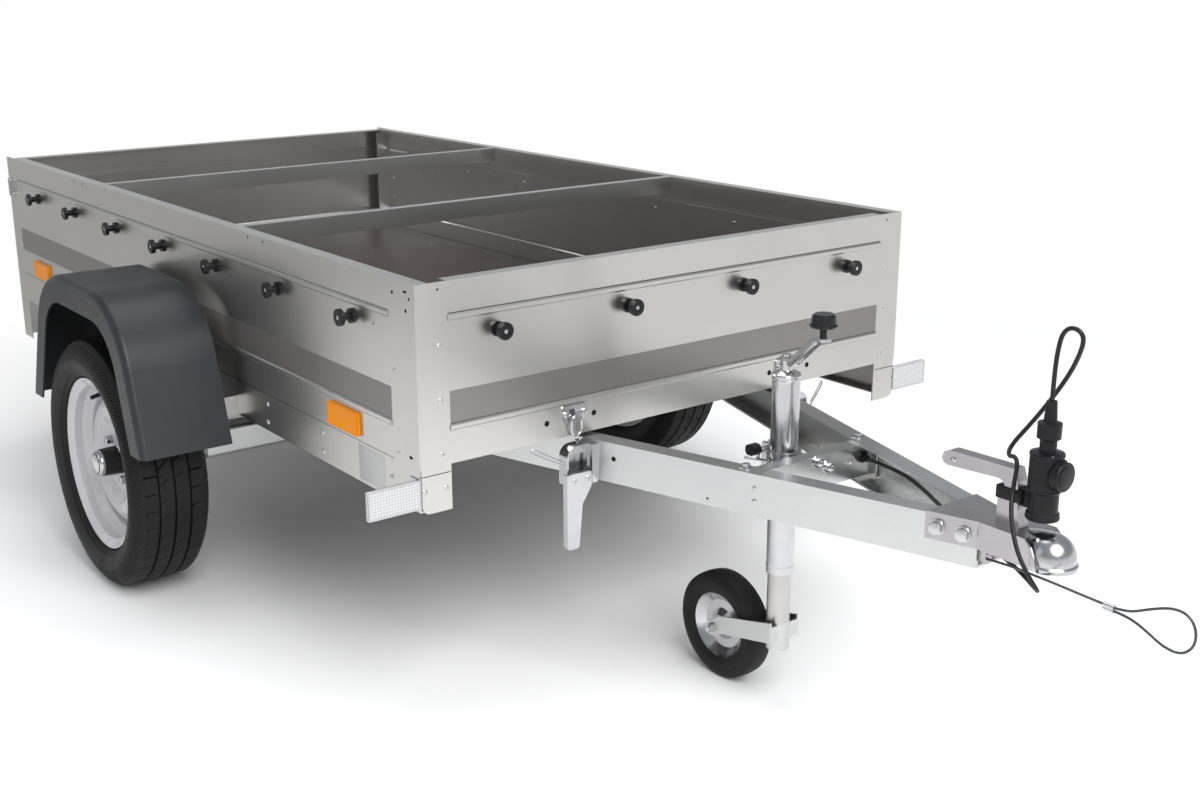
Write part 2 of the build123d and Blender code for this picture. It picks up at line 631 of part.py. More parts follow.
def nose(inner):
    """Dome turned about the ball's vertical axis; inner is the radius of its cup, or 0 for a solid."""
    lip, low, neck = DOME_R + CUP_LIP, -CUP_DEPTH, LIP_DEPTH + CUP_LIP - CUP_DEPTH
    outline = Line((inner, low), (lip, low)) + Line((lip, low), (lip, low + LIP_DEPTH))
    rise = DOME_RISE - DOME_R
    bend = DOME_R * math.sqrt(0.5)
    outline += Line((lip, low + LIP_DEPTH), (DOME_R, neck)) + Line((DOME_R, neck), (DOME_R, rise))
    outline += ThreePointArc((DOME_R, rise), (bend, rise + bend), (0, DOME_RISE))
    if inner:
        slant = inner * math.sqrt(0.5)
        outline += Line((0, DOME_RISE), (0, inner)) + ThreePointArc((0, inner), (slant, slant), (inner, 0))
        outline += Line((inner, 0), (inner, low))
    else:
        outline += Line((0, DOME_RISE), (0, low))
    ball = Vector(ahead(BALL_AHEAD), 0, drop(BALL_DROP))
    plane = Plane(origin=ball, x_dir=(1, 0, 0), z_dir=(0, -1, 0))
    return revolve(plane * make_face(outline), Axis(ball, (0, 0, 1)), 360)


def coupling():
    """Folded plates over the arms' ends and round the nose, with the lug of the safety cable below."""
    z1 = arm_top() + COUPLING_SHEET
    z0 = z1 - COUPLING_SIDE
    ball_x = ahead(BALL_AHEAD)

    def filled(out, low, high):
        rear = arm_y(COUPLING_REAR) + COUPLING_FIT + out
        knee = arm_y(ARM_END_AHEAD) + COUPLING_FIT + out
        nose = DOME_R + out - NOSE_TUCK
        plan = [(ahead(COUPLING_REAR), -rear), (ahead(ARM_END_AHEAD), -knee), (ball_x, -nose), (ball_x, nose),
                (ahead(ARM_END_AHEAD), knee), (ahead(COUPLING_REAR), rear)]
        return along_z(plan, low, high) + rod((ball_x, 0, low), (ball_x, 0, high), DOME_R + out)

    body = filled(COUPLING_SHEET, z0, z1) - filled(0, z0 - 1, z1 - COUPLING_SHEET)
    slant = ahead_outline([(763, 300), (784, 319), (793, 335), (804, 360), (860, 360), (860, 290), (763, 290)])
    for y in (-60, 25):
        body -= along_y(slant, y, y + 35)
    body -= block(ahead(784), ahead(860), -26, 26, drop(360), z1 + 1)
    body -= nose(0)
    y = -LUG_IN
    lug = block(ahead(LUG_AHEAD - 9), ahead(LUG_AHEAD), y - 7, y + 7, drop(375), z1 - COUPLING_SHEET)
    return body + fillet(lug.edges().filter_by(Axis.X).group_by(Axis.Z)[0], 5)


def coupling_lever():
    """Release lever: a folded sheet with a grip to the rear and a neck down to the coupling."""
    foot = TOP_Z - arm_top() - COUPLING_SHEET
    half = LEVER_WIDTH / 2
    front = NECK_AHEAD
    outer = [(front - 33, foot), (front + 8, foot), (front + NECK_LEAN, 290), (front, 240), (front - 6, 222),
             (612, 224), (602, 228), (598, 238), (602, 246), (610, 248), (front - 38, 243), (front - 33, 246)]
    inner = [(front - 46, foot + 10), (front + 1, foot + 10), (front, 290), (front - 3, 240), (front - 8, 224),
             (612, 226), (590, 227), (590, 260), (front - 46, 260)]
    lever = along_y(ahead_outline(outer), -half, half)
    lever -= along_y(ahead_outline(inner), -half + LEVER_SHEET, half - LEVER_SHEET)
    x, z = ahead(front - 35), drop(257)
    return lever - rod((x, -half - 1, z), (x, half + 1, z), FINGER_R)


def jockey_place():
    """X of the jockey wheel's tube."""
    return ahead(JOCKEY_AHEAD)


def jockey_tube():
    """Outer tube of the jockey wheel with its shoulder and cap."""
    x = jockey_place()
    z0, z1, z2 = drop(JOCKEY_TUBE_DROP), drop(JOCKEY_SHOULDER_DROP), drop(JOCKEY_TOP_DROP)
    r = JOCKEY_TUBE_R
    outline = [(z0, JOCKEY_LEG_R + LEG_FIT), (z0, r), (z1 - 3, r), (z1, r + 1.5), (z1 + 2, r + 1.5), (z1 + 4, r),
               (z1 + 9, JOCKEY_CAP_R + 4), (z1 + 10, JOCKEY_CAP_R), (z2, JOCKEY_CAP_R), (z2, 0), (z1 - 4, 0),
               (z1 - 4, JOCKEY_LEG_R + LEG_FIT)]
    return turned_upright(outline, x)


def jockey_crank():
    """Flat crank arm, cranked upward from the cap to the knob."""
    x, z = jockey_place(), drop(JOCKEY_TOP_DROP)
    low = [(x - 12, z), (x + 14, z), (x + CRANK_REACH - 14, z + CRANK_LIFT), (x + CRANK_REACH + 13, z + CRANK_LIFT)]
    high = [(px, pz + CRANK_SHEET) for px, pz in reversed(low)]
    bar = along_y(low + high, -CRANK_WIDTH / 2, CRANK_WIDTH / 2)
    return fillet(bar.edges().filter_by(Axis.Z), CRANK_WIDTH / 2 - 1)


def jockey_knob():
    """Mushroom knob on the crank, turned on its stem."""
    x = jockey_place() + CRANK_REACH
    foot = drop(JOCKEY_TOP_DROP) + CRANK_LIFT + CRANK_SHEET
    z1 = foot + KNOB_HEIGHT
    outline = [(foot, 0), (foot, 6), (z1 - 22, 6), (z1 - 22, KNOB_R + 2), (z1 - 19, KNOB_R + 4), (z1 - 16, KNOB_R + 1),
               (z1 - 4, KNOB_R), (z1, KNOB_R - 4), (z1, 0)]
    return turned_upright(outline, x)


def clamp_screw_place():
    """X and Z of the clamp's screw, behind the tube."""
    return jockey_place() - JOCKEY_TUBE_R - 9, drop(CLAMP_TOP_DROP + 4)


def jockey_clamp():
    """Split clamp round the jockey tube, fixed to the cross member."""
    x = jockey_place()
    z1 = drop(CLAMP_TOP_DROP)
    z0 = z1 - CLAMP_HEIGHT
    r = JOCKEY_TUBE_R
    sx, sz = clamp_screw_place()
    clamp = rod((x, 0, z0), (x, 0, z1), r + CLAMP_WALL)
    clamp += block(x, ahead(CROSS_AHEAD) - CROSS_SHEET, -22, 22, z0 + 4, z1 - 4)
    clamp += block(sx - 11, x, -10, 10, sz - 34, sz + 10)
    clamp -= rod((x, 0, z0 - 1), (x, 0, sz + 11), r + PIN_FIT)
    clamp -= block(sx - 12, x, -3, 3, z0 - 1, sz + 11)
    return clamp - rod((sx, -11, sz), (sx, 11, sz), SCREW_R + PIN_FIT)


def clamp_lever():
    """Clamp screw with its bent-wire bail."""
    sx, sz = clamp_screw_place()
    inner = -GRIP_OUT + GRIP_THICK / 2
    screw = rod((sx, inner, sz), (sx, 15, sz), SCREW_R)
    bail_y = inner - 3.5
    low = sz - 14
    tab = block(sx - 2, sx + 2, inner + 0.5, inner + 5, low - 2, sz)
    tab += block(sx - 2, sx + 2, bail_y, inner + 5, low - 2, low + 2)
    bail = tab + rod((sx - 26, bail_y, low - 4), (sx + 35, bail_y, low + 5), 2.5)
    return screw + bail


def clamp_grip():
    """Oval grip on the clamp's screw."""
    sx, sz = clamp_screw_place()
    grip = block(sx - 11, sx + 11, -GRIP_OUT - GRIP_THICK / 2, -GRIP_OUT + GRIP_THICK / 2, sz - 5, sz + 14)
    return fillet(grip.edges().filter_by(Axis.Y), 8)


def jockey_leg():
    """Inner tube of the jockey wheel, with the spigot that carries the fork."""
    x = jockey_place()
    seat = JOCKEY_LEG_FOOT + FORK_TUBE + PIN_FIT
    tube = rod((x, 0, seat), (x, 0, drop(JOCKEY_TUBE_DROP) + LEG_IN_TUBE), JOCKEY_LEG_R)
    return tube + rod((x, 0, JOCKEY_LEG_FOOT + SPIGOT_END), (x, 0, seat), SPIGOT_R)


def jockey_fork():
    """Swivelling foot of the jockey wheel: a tube under the leg and a strip bent round the wheel."""
    x = jockey_place()
    wx, z = x - JOCKEY_TRAIL, JOCKEY_R
    y = JOCKEY_WIDTH / 2 + FORK_GAP
    out = y + FORK_STRIP
    low, high = JOCKEY_LEG_FOOT, JOCKEY_LEG_FOOT + FORK_TUBE
    front = x + 16
    side = [(wx, z - 15), (wx + 34, z - 1), (front, low + 20), (front, high + 8), (wx + 22, z + 30), (wx, z + 15)]
    strip = along_y(side, -out, -y) + rod((wx, -out, z), (wx, -y, z), 15)
    bridge = block(front - FORK_STRIP, front, -out, out, low + 20, high - 1)
    body = rod((x, 0, low), (x, 0, high), JOCKEY_LEG_R) + strip + left_of(strip) + bridge
    body -= rod((x, 0, low - 1), (x, 0, high + 1), SPIGOT_R + PIN_FIT)
    body += rod((wx, -out, z), (wx, out, z), FORK_PIN_R)
    return body + rod((wx, -out - 7, z), (wx, -out, z), 9) + rod((wx, out, z), (wx, out + 7, z), 9)


def jockey_wheel_centre():
    """Centre of the jockey wheel."""
    return Vector(jockey_place() - JOCKEY_TRAIL, 0, JOCKEY_R)


def jockey_tyre():
    """Solid rubber tyre of the jockey wheel."""
    half = JOCKEY_WIDTH / 2
    return tyre(JOCKEY_R, JOCKEY_WIDTH, (half - 5.5, JOCKEY_RIM_R + 0.3), (half - 3, JOCKEY_RIM_R + 5),
                jockey_wheel_centre(), 8.0)


def jockey_rim():
    """Pressed rim and hub of the jockey wheel."""
    bore = FORK_PIN_R + PIN_FIT
    half = JOCKEY_WIDTH / 2
    end = half + FORK_GAP - 0.3
    right = [(end, bore), (end, 11), (14, 18), (5, 30), (5, JOCKEY_RIM_R - 16), (half - 10, JOCKEY_RIM_R - 4),
             (half - 6, JOCKEY_RIM_R)]
    outline = [(-along, radius) for along, radius in right] + list(reversed(right))
    return turned(outline, jockey_wheel_centre(), (0, 1, 0))


# ---------------------------------------------------------------- toggle latches
def oval_link(x, y, top):
    """Oval wire link in a plane across the trailer, with its top at the given height."""
    r = LINK_WIDTH / 2 - LINK_R
    high, low = top - LINK_R - r, top - LINK_LENGTH + LINK_R + r
    path = Line((x, y - r, low), (x, y - r, high)) + ThreePointArc((x, y - r, high), (x, y, high + r), (x, y + r, high))
    path += Line((x, y + r, high), (x, y + r, low)) + ThreePointArc((x, y + r, low), (x, y, low - r), (x, y - r, low))
    return sweep(Plane(origin=(x, y - r, low), z_dir=(0, 0, 1)) * Circle(LINK_R), path=path)


def latch_keeper():
    """Right keeper on the front panel, with the oval link that hangs in its hook."""
    y = -LATCH_OUT
    z1 = drop(KEEPER_DROP)
    half = KEEPER_WIDTH / 2
    plate = block(FRONT_X, FRONT_X + 3, y - half, y + half, z1 - KEEPER_HEIGHT, z1)
    plate = fillet(plate.edges().filter_by(Axis.X), 6)
    seat = drop(LINK_DROP) - 2 * LINK_R
    hook = block(FRONT_X, FRONT_X + LINK_OUT + 7, y - 6, y + 6, seat - 5, seat + 0.5)
    hook += block(FRONT_X + LINK_OUT + 3, FRONT_X + LINK_OUT + 7, y - 6, y + 6, seat - 5, seat + 10)
    return plate + hook + oval_link(FRONT_X + LINK_OUT, y, drop(LINK_DROP))


def toggle_latch():
    """Right latch on the arm: bracket, draw hook, body and the long folded handle."""
    y = -LATCH_OUT
    half = LATCH_WIDTH / 2
    x0, x1 = FRONT_X + 3, FRONT_X + 38
    z1 = drop(LATCH_DROP)
    z0 = z1 - LATCH_BODY
    outer_y, inner = y - LATCH_OFFSET - half, y - LATCH_OFFSET + half
    plate = along_z([(x0, inner), (x1, inner), (x1, -arm_y(x1 - FRONT_X)), (x0, -arm_y(x0 - FRONT_X))], z0, z1)
    body = block(x0, x0 + 24, outer_y, inner, z0, z1)
    body = fillet(body.edges().filter_by(Axis.X).group_by(Axis.Z)[-1].sort_by(Axis.Y)[:1], half - 2)
    body -= block(x0 + 3, x0 + 25, outer_y + 3, inner - 3, z0 - 1, z1 - 14)
    body += rod((x0 + 14, outer_y, z0 + 14), (x0 + 14, inner, z0 + 14), 5)
    x = FRONT_X + LINK_OUT
    draw = block(x - 2, x + 2, y - 4, y + 4, z0 + 14, drop(LINK_DROP + LINK_LENGTH) - LATCH_GAP)
    draw += block(x - 2, x0 + 14, y - 4, y + 4, z0 + 12, z0 + 16)
    end = drop(HANDLE_END_DROP)
    right = inner - 2
    left = right - HANDLE_WIDTH
    outer = [(left, end + 4), (left + 4, end), (left + 22, end), (left + 26, end + 4), (left + 33, z0 - 34),
             (right, z0 - 3), (right, z0 + 24), (left, z0 + 24)]
    channel = [(left + 2, end + 5), (left + 5, end + 2), (left + 21, end + 2), (left + 24, end + 5),
               (left + 31, z0 - 33), (right - 2, z0 - 2), (right - 2, z0 + 25), (left + 2, z0 + 25)]
    handle = along_x(outer, x0 + 24, x0 + 36) - along_x(channel, x0 + 23, x0 + 34)
    return plate + body + draw + handle


# ---------------------------------------------------------------- plug, holder and cords
def plug():
    """Round plug, upright in its holder, with its gland on top and the holder's lid in front."""
    x = ahead(PLUG_AHEAD)
    rows = [(111, 0), (111, 7.5), (141, 9.5), (143, 17), (165, 17), (168, 12), (184, 12), (187, 24), (243, 24),
            (246, PLUG_FOOT_R), (275, PLUG_FOOT_R), (277, 23.5), (286, 23.5), (286, 0)]
    body = turned_upright([(drop(d), r) for d, r in rows], x)
    lid = rod((x + 20, 0, drop(216)), (x + 33, 0, drop(216)), 22)
    return body + fillet(lid.edges().filter_by(GeomType.CIRCLE).sort_by(Axis.X)[-1:], 2)


def plug_holder():
    """Bracket from the lever's neck to the plug."""
    x = ahead(PLUG_AHEAD)
    slope = NECK_LEAN / 50
    low, high = PLUG_FOOT_DROPS
    outline = [(NECK_AHEAD + (low - 240) * slope, low), (NECK_AHEAD + (high - 240) * slope, high), (PLUG_AHEAD, high),
               (PLUG_AHEAD, low)]
    return along_y(ahead_outline(outline), -8, 8) - rod((x, 0, drop(high + 1)), (x, 0, drop(low - 1)), PLUG_FOOT_R)


def places(points):
    """Points of (ahead, y, drop) in the trailer's frame."""
    return [Vector(ahead(a), y, drop(d)) for a, y, d in points]


def cord(route_points, radius, label):
    """Tube on straight runs joined by tangent arcs, each as large as its runs allow."""
    runs = [(b - a) for a, b in zip(route_points, route_points[1:])]
    radii = []
    for first, second in zip(runs, runs[1:]):
        turn = math.radians(first.get_angle(second))
        radii.append(CORNER_SHARE * min(first.length, second.length) / math.tan(turn / 2))
    route = FilletPolyline(*route_points, radius=radii)
    tube = sweep(Plane(origin=route_points[0], z_dir=runs[0]) * Circle(radius), path=route)
    share = tube.volume / (math.pi * radius ** 2 * route.length)
    print(label, "length", round(route.length), "volume share", round(share, 4))
    print(label, "radii", [round(value, 1) for value in radii])
    return tube


def lead_gland():
    """Gland in the cross member's web, where the lead comes out."""
    first, second = places(LEAD_POINTS[:2])
    x = ahead(CROSS_AHEAD)
    along = (second - first).normalized()
    back = first - along * (first.X - x - 3)
    return rod((x, first.Y, first.Z), (x + 5, first.Y, first.Z), 10) + rod(back, first, 6.5)


def cable_line():
    """The safety cable's points; its end comes back beside the strand that passes through the ferrule."""
    line = places(CABLE_POINTS)
    start, along, below = ferrule_line()
    end = start + along * FERRULE_FRONT + below * STRAND_GAP
    return line + [end + along * 22, end]


def ferrule_line():
    """Start and direction of the cable's straight strand, and the way down to the strand beside it."""
    start, end = places(CABLE_POINTS[4:6])
    along = (end - start).normalized()
    across = along.cross(Vector(0, 0, 1)).normalized()
    return start, along, across.cross(along) * -1


def cable_ferrule():
    """Pressed ferrule that closes the safety cable's loop."""
    start, along, below = ferrule_line()
    front = start + along * FERRULE_FRONT
    rear = front - along * FERRULE_LENGTH
    body = rod(rear, front, 4.2) + rod(rear + below * STRAND_GAP, front + below * STRAND_GAP, 4.2)
    return body - rod(rear - along, front + along, CABLE_R + PIN_FIT)


LEAD_POINTS = [
    (339.0, 118.0, 338.0), (395.0, 108.0, 336.0), (455.0, 84.0, 330.0), (515.0, 54.0, 329.0), (572.0, 25.0, 333.0),
    (628.0, 6.0, 343.0), (682.0, 0.0, 358.0), (727.6, -3.0, 368.4), (761.9, -10.0, 380.2), (791.6, -24.0, 386.4),
    (804.7, -42.0, 376.9), (795.4, -54.0, 354.0), (774.2, -54.0, 324.6), (757.5, -47.0, 293.5), (742.3, -32.0, 269.7),
    (734.1, -19.0, 249.1), (735.2, -16.5, 224.9), (735.5, -15.5, 208.4), (724.3, -8.0, 203.9), (708.7, 2.0, 210.9),
    (699.0, 12.0, 207.1), (702.2, 19.0, 193.9), (717.9, 23.0, 170.8), (739.1, 25.0, 140.3), (763.1, 24.0, 104.7),
    (786.6, 18.0, 69.3), (802.8, 11.0, 38.9), (811.0, 6.0, 15.0), (803.5, 3.5, 3.5), (790.5, 1.0, 2.0),
    (781.0, -1.0, 12.0), (776.5, -0.8, 32.0), (774.0, -0.5, 56.0), (773.0, 0.0, 83.0), (773.0, 0.0, 111.0)]

CABLE_POINTS = [
    (703.0, -21.0, 368.0), (748.4, -29.0, 361.1), (792.8, -41.0, 356.0), (835.2, -45.0, 354.8), (886.0, -45.0, 357.0),
    (944.0, -43.3, 359.2), (978.0, -42.0, 341.4), (1008.9, -41.0, 329.1), (1031.1, -40.0, 332.6),
    (1042.3, -39.0, 351.1), (1040.9, -39.0, 374.2), (1025.2, -40.0, 390.0), (999.9, -41.0, 388.1),
    (974.5, -42.0, 374.5)]


# ---------------------------------------------------------------- fittings
def knob(foot, out):
    """Rope knob: a foot disc, a waist and a head disc."""
    foot, out = Vector(*foot), Vector(*out)
    rows = ((0, 5, 13), (5, 21, 7), (21, 28, 15))
    pieces = [rod(foot + out * start, foot + out * end, radius) for start, end, radius in rows]
    return pieces[0] + pieces[1] + pieces[2]


def rope_knobs():
    """Rope knobs along both sides and across the front."""
    knobs = []
    step = (SIDE_LENGTH - SIDE_KNOB_FIRST - SIDE_KNOB_LAST) / (SIDE_KNOBS - 1)
    for i in range(SIDE_KNOBS):
        x = behind(SIDE_KNOB_FIRST + i * step)
        for side in (-1, 1):
            knobs.append(knob((x, side * HALF_W, drop(SIDE_KNOB_DROP)), (0, side, 0)))
    knobs += [knob((FRONT_X, y, drop(FRONT_KNOB_DROP)), (1, 0, 0)) for y in FRONT_KNOB_Y]
    return Compound(children=knobs)


def side_reflectors():
    """Amber reflectors on both sides."""
    length, depth, height = SIDE_REFLECTOR
    z = drop(SIDE_REFLECTOR_DROP)
    bodies = []
    for distance in SIDE_REFLECTOR_BEHIND:
        x = behind(distance)
        right = block(x - length / 2, x + length / 2, -HALF_W - depth, -HALF_W, z - height / 2, z + height / 2)
        right = fillet(right.edges().filter_by(Axis.Y), 4)
        bodies += [right, left_of(right)]
    return Compound(children=bodies)


def front_reflector():
    """White reflector below the right front corner."""
    depth, width, height = FRONT_REFLECTOR
    z = drop(FRONT_REFLECTOR_DROP)
    lens = block(FRONT_X - depth, FRONT_X, -HALF_W - width, -HALF_W - SHEET, z - height / 2, z + height / 2)
    return fillet(lens.edges().filter_by(Axis.X), 4)


def reflector_bracket():
    """Angle sheet that holds the right front reflector to the rail."""
    depth, width, height = FRONT_REFLECTOR
    z = drop(FRONT_REFLECTOR_DROP)
    x = FRONT_X - depth
    sheet = block(x - SHEET, x, -HALF_W - width, -HALF_W, z - height / 2, z + height / 2)
    return sheet + block(x - 26, x, -HALF_W - SHEET, -HALF_W, z - height / 2, z + height / 2)


def tail_lamp():
    """Right tail lamp below the tailgate."""
    x0 = behind(LAMP_BEHIND)
    y0 = -HALF_W + SHEET + 1
    low, high = drop(LAMP_DROPS[1]), drop(LAMP_DROPS[0])
    lamp = block(x0, lamp_seat(), y0, y0 + LAMP_WIDTH, low, high)
    return fillet(lamp.edges().filter_by(Axis.X), LAMP_ROUND)


def lamp_seat():
    """X of the plane on which the tail lamps sit."""
    return behind(SIDE_LENGTH) - REAR_POST_WIDTH + 20


def lamp_bar():
    """Folded bar between the rear posts that carries the tail lamps."""
    x0 = lamp_seat()
    half = HALF_W - SHEET
    top = drop(LAMP_BAR_DROP)
    bar = block(x0, x0 + SHEET, -half, half, drop(LAMP_DROPS[1]), top)
    return bar + block(x0, behind(SIDE_LENGTH), -half, half, top - SHEET, top)


NODES = {
    "side_wall_right": side_wall(),
    "side_wall_left": left_of(side_wall()),
    "front_panel": front_panel(),
    "front_posts": pair(front_post()),
    "rear_posts": pair(rear_post()),
    "side_rails": pair(side_rail()),
    "floor_panel": floor_panel(),
    "floor_beams": floor_beams(),
    "cross_bars": cross_bars(),
    "mudguards": pair(mudguard()),
    "rope_knobs": rope_knobs(),
    "side_reflectors": side_reflectors(),
    "front_reflectors": pair(front_reflector()),
    "reflector_brackets": pair(reflector_bracket()),
    "tail_lamps": pair(tail_lamp()),
    "lamp_bar": lamp_bar(),
    "latch_keepers": pair(latch_keeper()),
    "tailgate_hooks": pair(tailgate_hook()),
    "swing_arms": pair(swing_arm()),
    "axle_tube": axle_tube(),
    "tailgate": tailgate(),
    "tyre_right": road_tyre(),
    "tyre_left": left_of(road_tyre()),
    "rim_right": rim(),
    "rim_left": left_of(rim()),
    "hub_right": hub(),
    "hub_left": left_of(hub()),
    "drawbar_arms": pair(arm()),
    "cross_member": cross_member(),
    "coupling": coupling(),
    "ball_cup": nose(BALL_R + BALL_FIT),
    "coupling_lever": coupling_lever(),
    "toggle_latches": pair(toggle_latch()),
    "jockey_tube": jockey_tube(),
    "jockey_crank": jockey_crank(),
    "jockey_knob": jockey_knob(),
    "jockey_clamp": jockey_clamp(),
    "clamp_lever": clamp_lever(),
    "clamp_grip": clamp_grip(),
    "jockey_leg": jockey_leg(),
    "jockey_fork": jockey_fork(),
    "jockey_tyre": jockey_tyre(),
    "jockey_rim": jockey_rim(),
    "plug": plug(),
    "plug_holder": plug_holder(),
    "lead_gland": lead_gland(),
    "lead": cord(places(LEAD_POINTS), LEAD_R, "lead"),
    "safety_cable": cord(cable_line(), CABLE_R, "safety cable"),
    "cable_ferrule": cable_ferrule(),
}

os.makedirs("parts", exist_ok=True)
for name, shape in NODES.items():
    export_step(shape, "parts/" + name + ".step")
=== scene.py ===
"""Dressed model of a single-axle utility trailer with a tipping bed.

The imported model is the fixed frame. X points forward to the coupling, Y to the trailer's left and Z up. "Ahead"
is measured from the front panel and "drop" from the top edge of the walls, both in millimetres, as are the
distances that place() takes. Every other length is in metres.
"""

import logging
import math
from dataclasses import dataclass, field
from enum import Enum
from typing import Callable, Iterable, Sequence

import bpy
from mathutils import Matrix, Vector

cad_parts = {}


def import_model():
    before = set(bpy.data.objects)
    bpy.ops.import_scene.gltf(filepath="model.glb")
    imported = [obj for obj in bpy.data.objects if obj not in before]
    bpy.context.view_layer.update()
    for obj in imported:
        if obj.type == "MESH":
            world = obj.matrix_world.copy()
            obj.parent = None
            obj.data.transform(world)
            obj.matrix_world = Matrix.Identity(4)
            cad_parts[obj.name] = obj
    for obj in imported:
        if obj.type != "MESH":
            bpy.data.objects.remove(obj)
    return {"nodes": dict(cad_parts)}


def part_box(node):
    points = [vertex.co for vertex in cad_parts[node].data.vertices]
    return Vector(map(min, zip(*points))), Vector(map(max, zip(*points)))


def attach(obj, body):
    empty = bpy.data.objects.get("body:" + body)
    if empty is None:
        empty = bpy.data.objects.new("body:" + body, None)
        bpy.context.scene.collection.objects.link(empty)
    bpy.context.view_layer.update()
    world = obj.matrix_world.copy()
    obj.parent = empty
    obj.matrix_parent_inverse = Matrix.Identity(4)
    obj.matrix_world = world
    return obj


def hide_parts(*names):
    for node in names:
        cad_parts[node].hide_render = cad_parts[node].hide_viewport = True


LOG = logging.getLogger("trailer")
Point = tuple[float, float, float]
Colour = tuple[float, float, float]
Rows = Sequence[tuple[float, float]]
Piece = bpy.types.Object
Socket = bpy.types.NodeSocket

FRONT_X = 0.649          # outer face of the front panel
HALF_WIDTH = 0.570       # outer face of a side wall
TOP_Z = 0.793            # top edge of the walls
MM = 0.001
WALL = -HALF_WIDTH / MM  # outer face of the right wall, in millimetres
AHEAD: Point = (1.0, 0.0, 0.0)
RIGHT: Point = (0.0, -1.0, 0.0)
UP: Point = (0.0, 0.0, 1.0)
FULL_WHITE = (1.0, 1.0, 1.0, 1.0)
SMOOTH_ANGLE = 38.0      # degrees up to which an edge is shaded smooth
WIRE_ANGLE = 60.0        # the same for a bent wire
BEVEL_ANGLE = 40.0       # degrees from which an edge is rounded
WASHER_THICK = 0.0018
ARM_SPREAD = 246.0       # right arm's outer face from the middle at the front panel
ARM_TAPER = 0.31         # how far an arm nears the middle for each millimetre ahead


def place(ahead: float, y: float, drop: float) -> Point:
    """Turns a place in millimetres ahead of the panel, to the left and below the top edge into metres.

    Args:
        ahead: Distance ahead of the front panel.
        y: Distance to the left of the middle.
        drop: Distance below the top edge of the walls.

    Returns:
        The point in the trailer's frame.
    """
    return (FRONT_X + ahead * MM, y * MM, TOP_Z - drop * MM)


def arm_face(ahead: float) -> tuple[float, Point]:
    """Finds the outer face of the drawbar's right arm.

    Args:
        ahead: Distance ahead of the front panel.

    Returns:
        The face's distance to the left of the middle, in millimetres, and its outward direction.
    """
    lean = math.atan(ARM_TAPER)
    return -(ARM_SPREAD - ARM_TAPER * ahead), (math.sin(lean), -math.cos(lean), 0.0)


